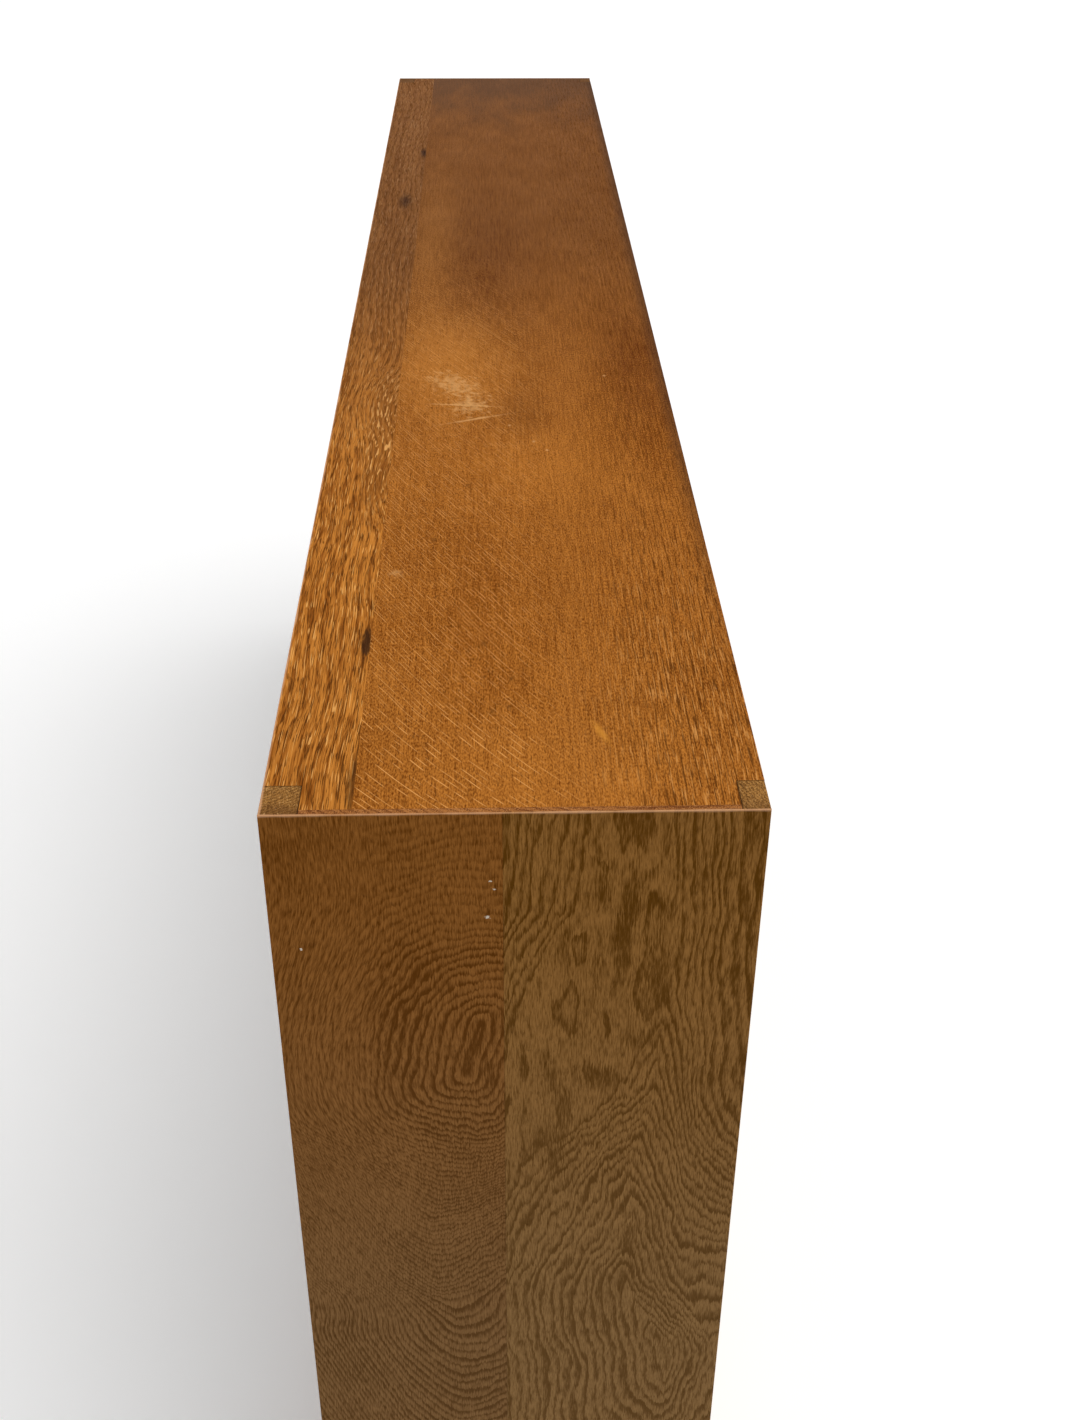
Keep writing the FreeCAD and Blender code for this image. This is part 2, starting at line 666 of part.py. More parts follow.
os.makedirs("parts", exist_ok=True)
for part in parts:
    part.Shape.exportStep(f"parts/{part.Label}.step")
    print(f"{part.Label}: {len(part.Shape.Solids)} solid(s), {part.Shape.Volume / 1000:.1f} cm3")
print(f"{len(parts)} sub-parts")
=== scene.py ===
import json
import math

import bmesh
import bpy
from mathutils import Color, Matrix, Vector
from mathutils.bvhtree import BVHTree

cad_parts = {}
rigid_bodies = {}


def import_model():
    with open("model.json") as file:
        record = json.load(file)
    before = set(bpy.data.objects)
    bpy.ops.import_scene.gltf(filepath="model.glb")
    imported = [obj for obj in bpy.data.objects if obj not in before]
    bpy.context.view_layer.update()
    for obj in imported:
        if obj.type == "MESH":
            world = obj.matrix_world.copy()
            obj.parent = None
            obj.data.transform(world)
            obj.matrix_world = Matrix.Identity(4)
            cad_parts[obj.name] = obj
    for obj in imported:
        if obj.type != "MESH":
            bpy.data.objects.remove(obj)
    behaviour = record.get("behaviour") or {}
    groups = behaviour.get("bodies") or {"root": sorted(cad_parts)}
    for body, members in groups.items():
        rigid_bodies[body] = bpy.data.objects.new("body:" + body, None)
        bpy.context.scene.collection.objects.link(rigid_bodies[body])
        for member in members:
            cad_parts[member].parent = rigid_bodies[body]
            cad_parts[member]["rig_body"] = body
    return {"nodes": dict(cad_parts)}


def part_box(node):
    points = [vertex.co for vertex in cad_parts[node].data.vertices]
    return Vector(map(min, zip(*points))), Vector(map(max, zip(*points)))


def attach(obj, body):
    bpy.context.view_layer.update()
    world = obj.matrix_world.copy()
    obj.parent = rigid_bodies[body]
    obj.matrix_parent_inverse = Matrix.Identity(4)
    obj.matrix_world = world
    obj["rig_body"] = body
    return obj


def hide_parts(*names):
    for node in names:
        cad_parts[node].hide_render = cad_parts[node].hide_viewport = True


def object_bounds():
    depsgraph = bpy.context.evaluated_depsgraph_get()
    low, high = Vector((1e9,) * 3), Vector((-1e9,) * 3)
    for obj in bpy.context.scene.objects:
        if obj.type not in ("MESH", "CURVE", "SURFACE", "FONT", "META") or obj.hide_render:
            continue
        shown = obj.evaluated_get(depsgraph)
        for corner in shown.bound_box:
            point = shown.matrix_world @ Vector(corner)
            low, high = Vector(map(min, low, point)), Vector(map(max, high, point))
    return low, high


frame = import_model()
cad_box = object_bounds()


# End boards
# Each end is a cored board, planed square, that stands on the floor and is rebated for the top.
# Its bare upper edge shows as a narrow lap beside the end of the top.

MM = 0.001
HALF_LENGTH, HALF_DEPTH, HEIGHT = cad_box[1] / MM
BAYS = ("left", "right")

boxes = {node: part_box(node) for node in frame["nodes"]}
solids = {}
for node, carrier in frame["nodes"].items():
    corners = [vertex.co for vertex in carrier.data.vertices]
    solids[node] = BVHTree.FromPolygons(corners, [face.vertices for face in carrier.data.polygons])


def inside_another(node, point):
    """True if a point lies within the solid of another CAD node."""
    for name, solid in solids.items():
        low, high = boxes[name]
        if name == node or any(point[i] < low[i] or point[i] > high[i] for i in range(3)):
            continue
        near, normal, _, _ = solid.find_nearest(point)
        if (point - near).dot(normal) < 0:
            return True
    return False


def whole_faces(node):
    """A copy of a node's mesh with its loose triangles joined into whole flat faces."""
    same_point, same_plane = 0.002 * MM, math.radians(1)
    shell = bmesh.new()
    shell.from_mesh(frame["nodes"][node].data)
    bmesh.ops.remove_doubles(shell, verts=shell.verts, dist=same_point)
    bmesh.ops.dissolve_limit(shell, angle_limit=same_plane, verts=shell.verts, edges=shell.edges)
    for face in shell.faces:
        face.smooth = False
    shell.normal_update()
    return shell


def modified(mesh, kind, **settings):
    """The mesh after one modifier."""
    blank = bpy.data.objects.new("blank", mesh)
    bpy.context.scene.collection.objects.link(blank)
    modifier = blank.modifiers.new(kind, kind)
    for setting, value in settings.items():
        setattr(modifier, setting, value)
    graph = bpy.context.evaluated_depsgraph_get()
    result = bpy.data.meshes.new_from_object(blank.evaluated_get(graph))
    bpy.data.objects.remove(blank)
    return result


def eased(node, arris=0.6 * MM, joint=0.1 * MM):
    """A node's mesh with its free corners sanded round and its glued joints left as fine lines.

    An edge is probed on both sides: with neither side in a neighbour it is free, and with both it is hidden.
    """
    shell = whole_faces(node)
    weight = shell.edges.layers.float.new("bevel_weight_edge")
    shortest, squarest, probe = 4 * MM, math.radians(60), 0.2 * MM
    for edge in shell.edges:
        if len(edge.link_faces) != 2 or edge.calc_length() < shortest:
            continue
        if edge.calc_face_angle_signed() < squarest:
            continue
        middle = (edge.verts[0].co + edge.verts[1].co) / 2
        out = (edge.link_faces[0].normal - edge.link_faces[1].normal) * probe
        held = inside_another(node, middle + out) + inside_another(node, middle - out)
        edge[weight] = (1, joint / arris, 0)[held]
    mesh = bpy.data.meshes.new(node)
    shell.to_mesh(mesh)
    shell.free()
    return modified(mesh, "BEVEL", limit_method="WEIGHT", width=arris, segments=3, use_clamp_overlap=True)


def fit(node, mesh, slot, *materials):
    """Puts a finished mesh in the place of its CAD node, on the same body."""
    piece = bpy.data.objects.new(f"{node}_finished", mesh)
    bpy.context.scene.collection.objects.link(piece)
    mesh.materials.clear()
    for material in materials:
        mesh.materials.append(material)
    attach(piece, frame["nodes"][node]["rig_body"])
    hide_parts(node)


class Figure:
    """A number worked out at each point of a surface, so that a grain can be written as a formula."""

    def __init__(self, socket):
        self.socket = socket
        self.tree = socket.id_data

    def through(self, kind, *inputs, output=0, **settings):
        """What comes out of a shader node that this figure and the other inputs go into."""
        node = self.tree.nodes.new(kind)
        for setting, value in settings.items():
            setattr(node, setting, value)
        for socket, value in zip(node.inputs, (self, *inputs)):
            feed(socket, value)
        return Figure(node.outputs[output])

    def math(self, operation, *others):
        """One step of arithmetic on this figure and others."""
        return self.through("ShaderNodeMath", *others, operation=operation)

    def __add__(self, other):
        return self.math("ADD", other)

    def __sub__(self, other):
        return self.math("SUBTRACT", other)

    def __mul__(self, other):
        return self.math("MULTIPLY", other)

    def __truediv__(self, other):
        return self.math("DIVIDE", other)

    def __rsub__(self, other):
        return self * -1 + other

    __radd__ = __add__
    __rmul__ = __mul__

    def __abs__(self):
        return self.math("ABSOLUTE")

    def least(self, other):
        """The smaller of this figure and another."""
        return self.math("MINIMUM", other)

    def most(self, other):
        """The larger of this figure and another."""
        return self.math("MAXIMUM", other)

    def soft_most(self, other, bend):
        """The larger of this figure and another, with a bend of some width where they cross."""
        return self.math("SMOOTH_MAX", other, bend)

    def across(self, other):
        """Length of the diagonal of this figure and another."""
        return (self * self + other * other).math("SQRT")

    def rise(self, low, high):
        """0 up to low, 1 from high on, and a smooth step between; falls where low is above high."""
        return self.through("ShaderNodeMapRange", low, high, 0.0, 1.0, interpolation_type="SMOOTHSTEP")


def feed(socket, value):
    """Links a figure to a socket, or sets a plain number or colour on it."""
    if isinstance(value, Figure):
        value.tree.links.new(value.socket, socket)
    elif value is not None:
        socket.default_value = value


def noise(x, y, z=0.0, detail=2.0):
    """Smooth noise about 0, from -0.5 to 0.5, with one unit of x, y and z to a grain."""
    place = x.through("ShaderNodeCombineXYZ", y, z)
    scale, roughness, middle = 1.0, 0.5, 0.5
    return place.through("ShaderNodeTexNoise", None, scale, detail, roughness) - middle


def spot(place, middle, size, turn=0.0, ragged=0.0):
    """1 in the middle of an oval on a flat place, falling to 0 at its outline."""
    node = place.tree.nodes.new("ShaderNodeMapping")
    node.vector_type = "TEXTURE"
    feed(node.inputs["Vector"], place)
    node.inputs["Location"].default_value = (*middle, 0)
    node.inputs["Rotation"].default_value = (0, 0, math.radians(turn))
    node.inputs["Scale"].default_value = (*size, 1)
    far = Figure(node.outputs[0]).through("ShaderNodeVectorMath", operation="LENGTH", output=1)
    return (far + ragged).rise(1.0, 0.0)


def shade(red, green, blue):
    """Shader colour of an sRGB colour in steps from 0 to 255."""
    return (*Color((red / 255, green / 255, blue / 255)).from_srgb_to_scene_linear(), 1)


def blend(share, one, other, way="MIX"):
    """One colour where the share is 0, and where it is 1 the other, or their product if way is MULTIPLY."""
    mix = share.tree.nodes.new("ShaderNodeMix")
    mix.data_type = "RGBA"
    mix.blend_type = way
    first_colour, second_colour, mixed_colour = mix.inputs[6], mix.inputs[7], mix.outputs[2]
    feed(mix.inputs[0], share)
    feed(first_colour, one)
    feed(second_colour, other)
    return Figure(mixed_colour)


def blank_finish(name):
    """A new material, and the place of a surface point in it in millimetres along x, y and z."""
    material = bpy.data.materials.new(name)
    material.use_nodes = True
    tree = material.node_tree
    place = Figure(tree.nodes.new("ShaderNodeTexCoord").outputs["Object"])
    place = place.through("ShaderNodeVectorMath", None, None, 1 / MM, operation="SCALE")
    split = place.through("ShaderNodeSeparateXYZ").socket.node
    return material, [Figure(output) for output in split.outputs]


def polish(material, colour, roughness, relief, shine=0.008):
    """Gives a material its colour, its roughness, and its relief as a height in millimetres."""
    tree = material.node_tree
    shader = tree.nodes["Principled BSDF"]
    bump = tree.nodes.new("ShaderNodeBump")
    bump.inputs["Distance"].default_value = MM
    feed(bump.inputs["Height"], relief)
    feed(shader.inputs["Normal"], Figure(bump.outputs[0]))
    feed(shader.inputs["Base Color"], colour)
    feed(shader.inputs["Roughness"], roughness)
    shader.inputs["Specular IOR Level"].default_value = shine
    return material


def worn_corners(colour, place):
    """A finish's colour, paler on the upper corners of the case, where hands have worn it through."""
    patch, uneven, worn_from, worn_to, worn_share = 30, 2.4, 1.5, 0.2, 0.7
    x, y, z = place
    from_end = HALF_LENGTH - abs(x)
    from_front = y + HALF_DEPTH
    from_top = HEIGHT - z
    end_corner, front_corner = from_end.most(from_top), from_front.most(from_top)
    patchy = noise(x / patch, y / patch, z / patch, 4.0) * uneven
    worn = (end_corner.least(front_corner) + patchy).rise(worn_from, worn_to)
    return blend(worn * worn_share, colour, shade(228, 174, 130))


GOLDEN_OAK = dict(
    pale=shade(206, 132, 54), dark=shade(139, 77, 22), fleck=shade(236, 170, 92), pore=shade(78, 40, 11)
)


def oak(
    name, along, tone=GOLDEN_OAK, heart=(300, 700), ring=4.0, seed=0.0, bent=None, marked=None, worn=True
):
    """Solid wood whose grain runs along one axis, with its rings round a heart in the other two.

    heart and ring, the width of a growth ring, are in millimetres. seed moves along the log to other grain.
    bent shifts the grain sideways by some millimetres, marked changes the finished colour, and worn wears
    it on the upper corners of the case.
    """
    material, place = blank_finish(name)
    other_grain = 190.0
    run = place[along] + other_grain * seed
    side, deep = [place[axis] for axis in range(3) if axis != along]
    sway = noise(run / 240, side / 90, deep / 90) * 16
    if bent:
        sway = sway + bent(place)
    side, deep = side + sway, deep + sway * 0.6

    def grained(length, width, thickness, detail):
        """Noise drawn out along the grain, its grains of some millimetres each way."""
        return noise(run / length, side / width, deep / thickness, detail)

    radius = (side - heart[0]).across(deep - heart[1])
    phase = (radius / ring + grained(60, 8, 8, 2.0) * 1.6).math("FRACT")
    early = phase.rise(0.0, 0.15) * phase.rise(0.8, 0.2)
    fibre = grained(24, 0.7, 0.7, 3.0)
    pores = (grained(17, 0.6, 0.6, 1.0) + early * 0.07).rise(0.09, 0.14)
    flecks = grained(20, 0.75, 1.0, 0.0).rise(0.17, 0.25)
    cloud = grained(150, 25, 25, 3.0)
    grain = (early * 0.3 + fibre * 2.1 + cloud * 0.9 + 0.3).rise(0.0, 0.9)
    colour = blend(grain, tone["pale"], tone["dark"])
    colour = blend(pores * 0.8, colour, tone["pore"])
    colour = blend(flecks * 0.9, colour, tone["fleck"])
    if marked:
        colour = marked(colour, place)
    if worn:
        colour = worn_corners(colour, place)
    roughness = 0.5 + pores * 0.2 + cloud * 0.15
    relief = pores * -0.08 + grain * -0.02 + flecks * 0.01
    return polish(material, colour, roughness, relief)


LAP_OAK = dict(
    pale=shade(184, 120, 64), dark=shade(124, 70, 34), fleck=shade(200, 138, 84), pore=shade(84, 46, 22)
)


def far_end_painted_shade(colour, place):
    """A colour darkened towards the left end with painted shade, as if less light reached that end."""
    darkest = 0.7
    return blend((place[0] * -1).rise(0, HALF_LENGTH) * darkest, colour, shade(84, 50, 26))


# The end boards carry painted shade towards the left end.
end_board_oak = oak("end_board_oak", along=2, tone=LAP_OAK, heart=(700, 90), seed=1, marked=far_end_painted_shade)

for bay in BAYS:
    fit(f"{bay}_end_panel", eased(f"{bay}_end_panel"), "oak_board", end_board_oak)


# Lippings of the ends
# Solid oak strips, glued to the front and back edges of each end and planed flush.
# Their end grain shows as a small dark block at each corner of the top.

LIPPING_OAK = dict(
    pale=shade(184, 132, 70), dark=shade(126, 82, 36), fleck=shade(200, 150, 88), pore=shade(74, 46, 20)
)
lipping_boxes = {edge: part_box(f"right_end_{edge}_lipping") for edge in ("front", "back")}


def glue_line(edge):
    """A marking that darkens a lipping's glued sides, and soils its outer corner on the top."""
    low, high = [corner / MM for corner in lipping_boxes[edge]]
    glued = high.y if edge == "front" else low.y
    soiled_width = 9

    def marked(colour, place):
        x, y, z = place
        wavy = noise(x / 6, y / 6, z / 6, 3.0)
        joint = abs(abs(x) - low.x).least(abs(y - glued)) + wavy * 0.8
        soiled = (abs(x) - high.x + soiled_width + wavy * 14).rise(-4, 8)
        open_pores = noise(x / 5, y / 1.4, 1.0, 3.0).rise(-0.02, 0.16)
        pale_rays = noise(x / 4, y / 1.2, 2.0, 1.0).rise(0.12, 0.24)
        colour = blend(soiled * 0.45, colour, shade(92, 58, 34))
        colour = blend(open_pores * 0.55, colour, shade(92, 58, 26))
        colour = blend(pale_rays * 0.6, colour, shade(214, 164, 104))
        # Painted shade towards the left end.
        colour = far_end_painted_shade(colour, place)
        return blend(joint.rise(1.1, 0.3) * 0.85, colour, shade(56, 34, 16))

    return marked


lipping_oak = {
    "front": oak("front_lipping_oak", 2, LIPPING_OAK, (820, -190), 2.2, seed=2, marked=glue_line("front")),
    "back": oak("back_lipping_oak", 2, LIPPING_OAK, (840, 260), 2.2, seed=3, marked=glue_line("back")),
}

for bay in BAYS:
    for edge in ("front", "back"):
        node = f"{bay}_end_{edge}_lipping"
        fit(node, eased(node), "oak_solid", lipping_oak[edge])


# Veneer of the ends
# Two leaves of oak peeled from the log, laid upright and butted in a straight seam.
# The front leaf has ovals round one eye, the back leaf bold arches and islands.


def ring_lines(count):
    """Dark early wood at the start of each ring, bolder in some rings than in others."""
    ring = count.math("FLOOR")
    bold = ring.through("ShaderNodeCombineXYZ", 0.0, 0.0).through("ShaderNodeTexWhiteNoise")
    phase = count - ring
    return phase.rise(0.0, 0.16) * phase.rise(0.55 + bold * 0.35, 0.18) * (0.6 + bold * 0.4)


def dark_patches(place, across, down, patches):
    """Ovals of dark early wood, each with a middle, a size and a turn, streaked along the fibres."""
    streaky = noise(across / 1.1, down / 16, 6.0) * 2
    return sum(spot(place, middle, size, turn, streaky) for middle, size, turn in patches).rise(0.0, 0.8)


EYE_PATCHES = [((113, 176), (8, 27), 10), ((124, 196), (6, 18), 0)]


def front_leaf(place, across, down):
    """Darkness of ovals round an eye by the seam, drawn out into fine nested hollows below it.

    Places on both leaves are in millimetres across from the front edge and down from the top.
    """
    eye_across, eye_head, eye_middle, eye_foot = 114, 150, 175, 198
    ring_beside, ring_above, ring_below, bend = 6.2, 5.8, 6.4, 14.0
    lean = (down - eye_middle).most(-45.0).least(45.0) * 0.18
    drift = down.rise(235, 345) * 20 - down.rise(380, 430) * 14
    side = across - eye_across + lean + drift
    over = (eye_head - down).soft_most(0.0, bend) / ring_above
    under = (down - eye_foot).soft_most(0.0, bend) / ring_below
    ovals = (side / ring_beside).across(over + under)

    finer_before, finer_below, upright_below = 62, 245, 400
    finer = (finer_before - across).most(0.0) * 0.09 + (down - finer_below).most(0.0) * 0.06
    hollow = side.across(10.0) * 0.185 - side * 0.065
    hollow = hollow * down.rise(215, 340) * (1 - down.rise(390, 450) * 0.35)
    upright = (down - upright_below).most(0.0) * -0.1
    rings = ring_lines(ovals + finer + hollow + upright)

    round_eye = spot(place, (103, 185), (72, 135)).rise(0.0, 0.7)
    strength = 0.5 + across.rise(40, 80) * 0.3 + round_eye * 0.3
    strength = strength + down.rise(370, 440) * 0.3 - down.rise(110, 20) * 0.5
    patches = dark_patches(place, across, down, EYE_PATCHES)
    # Painted shade near the head of the leaf, by its front edge.
    painted_corner_shade = spot(place, (15, 20), (95, 75)) * 0.3
    return (rings * strength).most(patches * 0.75) + painted_corner_shade


def weighted_spots(place, spots):
    """Soft ovals added up, each with a middle, a size and a weight."""
    return sum(spot(place, middle, size) * weight for middle, size, weight in spots)


CROWN_PATCHES = [
    ((202, 0), (11, 34), 0), ((205, 66), (9, 36), 0), ((187, 53), (7, 18), 0), ((214, 42), (4, 17), 40),
    ((188, 35), (3, 14), -48), ((222, 122), (12, 54), 0), ((190, 198), (18, 19), 0),
    ((168, 232), (7, 44), 0), ((163, 270), (6, 30), 0), ((214, 345), (7, 26), 0),
    ((275, 16), (7, 28), -28), ((271, 68), (6, 40), -12), ((267, 116), (5, 40), -3),
]
BOWLS = [((290, 252), (62, 125), 7), ((252, 610), (75, 150), 7)]
ISLANDS = [
    ((177, 99), (7, 24), 1), ((175, 146), (9, 27), 1), ((222, 112), (19, 74), 1), ((203, 0), (15, 38), 1)
]


def back_leaf(place, across, down):
    """Darkness of a pale crown with dark islands at the head, then one arch below the other."""
    axis = 226 - down.rise(200, 290) * 12 + down.rise(380, 480) * 30
    off = across - axis
    ring_at_head, ring_of_arch, ring_behind = 6.3, 6.8, 4.9
    shoulder = 183 - down.least(70.0) * 0.1 - (down - 70).most(0.0).least(85.0) * 0.44
    head = (shoulder - across).soft_most(0.0, 6.0) / ring_at_head * down.rise(215, 175)
    arches_from, arches_to = 138, 450.0
    climb = (down.least(arches_to) - arches_from).soft_most(0.0, 24.0) * 0.055 + down.rise(205, 290) * 2.6
    arches = (climb + off.least(0.0) / ring_of_arch).soft_most(0.0, 1.0)
    widening = 0.1 + down.rise(130, 200) * 0.09
    behind = off.soft_most(0.0, 8.0) / ring_behind - (off - 34).most(0.0) * widening
    wander = noise(across / 14, down / 60, 3.0) * 2.4 + noise(across / 5, down / 25, 8.0) * 0.6
    count = head + behind - arches + wander + weighted_spots(place, BOWLS)
    first_ring = 0.75
    rings = ring_lines(count + first_ring + weighted_spots(place, ISLANDS))
    return rings.most(dark_patches(place, across, down, CROWN_PATCHES) * 0.65)


def end_veneer(name, figure, light, dark, sweep, ragged, chips, upturned):
    """Peeled oak whose dark ring lines are broken up by the upright fibres.

    light and dark are pairs of colours, at the head of the leaf and further down, where they turn paler and
    greyer with painted light bounced up from the floor. sweep is how far, in millimetres, the fibres bow
    towards the front beside the eye, and ragged is how far they draw the ring lines up and down. chips are
    the middles and sizes of places worn bare. An upturned leaf has its head at the floor.
    """
    material, (x, y, z) = blank_finish(name)
    across = y + HALF_DEPTH
    down = z if upturned else HEIGHT - z
    seed = 4.0 + upturned
    flat = across.through("ShaderNodeCombineXYZ", down, 0.0)
    grain = across + spot(flat, (15, 190), (105, 150)) * sweep
    fibre = noise(grain / 0.8, down / 8, seed, 3.0) * 2.4 + noise(grain / 2.5, down / 26, seed) * 0.6
    ticks = noise(grain / 0.9, down / 12, seed + 0.5, 2.0) * ragged
    waver = noise(across / 45, down / 90, seed) * 14
    tremble = noise(across / 8, down / 22, seed, 4.0) * 4
    shaken_across = across + waver + tremble
    shaken_down = down + waver * 1.6 + tremble * 1.5 + ticks
    shaken = shaken_across.through("ShaderNodeCombineXYZ", shaken_down, 0.0)
    darkness = figure(shaken, shaken_across, shaken_down)

    cloud = noise(across / 50, down / 90, 7.0, 3.0)
    patchy = 0.8 + noise(across / 30, down / 45, 9.0) * 1.2 + noise(across / 5, down / 11, 9.0) * 0.9
    tone = (darkness * patchy + fibre + cloud * 0.5 + 0.25).rise(-0.2, 1.1)
    pores = noise(grain / 0.6, down / 5, seed, 1.0).rise(0.1, 0.2)
    # Away from the head the colours turn paler and greyer: painted light bounced up from the floor, which an
    # upturned leaf carries at its top.
    lower = down.rise(0, 480)
    colour = blend(tone, blend(lower, *light), blend(lower, *dark))
    colour = blend(pores * 0.35, colour, shade(80, 46, 14))
    crumbled = noise(across / 1.2, down / 1.2, 2.0, 3.0) * 2.2
    for middle, size in chips:
        chip = spot(flat, middle, size, ragged=crumbled).rise(0.2, 0.45)
        colour = blend(chip, colour, shade(250, 236, 216))
    colour = worn_corners(colour, (x, y, z))
    roughness = 0.52 + pores * 0.15 + cloud * 0.1
    relief = pores * -0.06 + tone * -0.03
    return polish(material, colour, roughness, relief)


LEAVES = {
    "front": dict(
        figure=front_leaf, sweep=28.0, ragged=6.0,
        light=(shade(178, 115, 52), shade(167, 125, 79)), dark=(shade(114, 64, 12), shade(114, 79, 42)),
        chips=[
            ((124, 73), (2.0, 1.5)), ((126, 47), (1.2, 1.0)), ((128, 53), (1.1, 1.0)), ((17, 95), (1.1, 1.1))
        ],
    ),
    "back": dict(
        figure=back_leaf, sweep=0.0, ragged=10.0,
        light=(shade(182, 128, 65), shade(177, 136, 86)), dark=(shade(112, 70, 16), shade(122, 87, 46)),
        chips=[],
    ),
}
for bay, upturned in (("left", True), ("right", False)):
    for edge, makeup in LEAVES.items():
        node = f"{bay}_end_{edge}_veneer"
        veneer = end_veneer(f"{bay}_{edge}_leaf", upturned=upturned, **makeup)
        fit(node, eased(node), "oak_veneer", veneer)


# Board, dowels and loose tongue of the top
# The top is a cored board let into the ends on beech dowels, with a plywood tongue along its front.
# Only its underside shows, inside the case.

BOARD_OAK = dict(
    pale=shade(184, 124, 60), dark=shade(138, 86, 36), fleck=shade(206, 152, 86), pore=shade(88, 54, 22)
)
BEECH = dict(
    pale=shade(210, 164, 116), dark=shade(186, 136, 90), fleck=shade(170, 116, 74), pore=shade(160, 112, 74)
)
PLYWOOD = dict(
    pale=shade(194, 150, 96), dark=shade(164, 118, 68), fleck=shade(204, 162, 110), pore=shade(120, 82, 44)
)
board_oak = oak("board_oak", along=0, tone=BOARD_OAK, heart=(40, -260), seed=4, worn=False)
beech = oak("beech", along=0, tone=BEECH, heart=(300, 500), seed=5, worn=False)
tongue_plywood = oak("tongue_plywood", along=0, tone=PLYWOOD, heart=(0, 400), ring=6.0, seed=6, worn=False)


def finish_node(node, material):
    """Gives a CAD node that is right as it stands its material."""
    mesh = frame["nodes"][node].data
    mesh.materials.clear()
    mesh.materials.append(material)


fit("top_panel", eased("top_panel"), "oak_board", board_oak)
finish_node("top_dowels", beech)
finish_node("top_spline", tongue_plywood)


# Front rail of the top
# A solid oak strip, rift-sawn, glued along the front of the top and grooved below for the doors.
# A lens of bark lies in its back edge, and its grain swirls round a burr a third of the way along.

RAIL_SWIRLS = [((60, 30), (90, 50), 2), ((575, 50), (110, 44), 13), ((430, 52), (110, 30), 10)]
RAIL_KNOTS = [
    ((1186, 34), (46, 12), 0.8, shade(70, 40, 16)),
    ((1400, 49), (34, 8), 0.9, shade(58, 32, 14)),
]


def top_place(place):
    """A flat place on the top, in millimetres from the near end and the front, and those two figures."""
    x, y, _ = place
    from_end, from_front = HALF_LENGTH - x, y + HALF_DEPTH
    return from_end.through("ShaderNodeCombineXYZ", from_front, 0.0), from_end, from_front


def rail_swirl(place):
    """Grain pushed aside by a burr at the back edge, and dipping towards it at the near end."""
    flat, _, _ = top_place(place)
    return weighted_spots(flat, RAIL_SWIRLS)


def rail_marks(colour, place):
    """Pale ribbons in the burr, a calmer far end darkened with painted shade, two knots, a glue stain, and
    the bark lens.
    """
    flat, from_end, _ = top_place(place)
    x, y, _ = place
    ragged = noise(x / 8, y / 1.6, 0.0, 3.0)
    ribbons = noise(x / 17 + y / 7, y / 2.2, 4.0, 1.0).rise(0.07, 0.15)
    burr = spot(flat, (520, 42), (210, 18)).rise(0.0, 0.6)
    colour = blend(burr * 0.35, colour, shade(112, 62, 20))
    colour = blend(ribbons * burr * 0.9, colour, shade(240, 176, 100))
    colour = blend(from_end.rise(300, 900) * 0.4, colour, shade(166, 102, 42))
    for middle, size, share, tint in RAIL_KNOTS:
        colour = blend(spot(flat, middle, size, ragged=ragged) * share, colour, tint)
    # Painted shade: the rail darkens towards the far end.
    colour = blend(from_end.rise(380, 1000), colour, shade(188, 194, 236), "MULTIPLY")
    stain = spot(flat, (26, 49.5), (46, 4.5), ragged=ragged)
    colour = blend(stain * 0.75, colour, shade(78, 46, 18))
    bark = spot(flat, (184, 48.3), (31, 5.2), ragged=ragged * 0.8).rise(0.0, 0.7)
    return blend(bark * 0.92, colour, shade(62, 36, 18))


rail_oak = oak("rail_oak", along=0, heart=(-250, 720), seed=7, bent=rail_swirl, marked=rail_marks)
fit("top_front_rail", eased("top_front_rail"), "oak_solid", rail_oak)


# Veneer of the top
# A quarter-cut oak leaf with fine ray strokes slanting away from the rail, and straight pores at the back.
# Painted shade darkens the leaf towards the far end and along the back edge, one patch carries painted
# sheen, and the leaf has scuffs, scratches and old specks.

# Paler patches of the leaf; the strongest, 680 mm from the near end, is painted sheen.
PALE_PATCHES_AND_SHEEN = [
    ((25, 170), (110, 130), 0.16), ((450, 165), (110, 80), 0.16),
    ((680, 92), (190, 75), 0.45), ((1050, 70), (400, 36), 0.25),
]
SHADED = [((265, 115), (190, 90), 0.1), ((960, 130), (330, 75), 0.2), ((650, 258), (280, 50), 0.3)]
SPECKS = [
    ((182, 123), 7), ((139, 140), 6), ((102, 128), 6), ((107, 138), 4), ((328, 88), 6), ((418, 111), 6)
]
SCRATCHES = [((546, 115), (42, 2.6), 68), ((576, 108), (44, 2.2), 97)]
SCUFFS = [((577, 112), (26, 20), 0), ((622, 98), (40, 22), -30)]
NICKS = [(500, 163), (533, 144), (483, 173), (641, 228)]


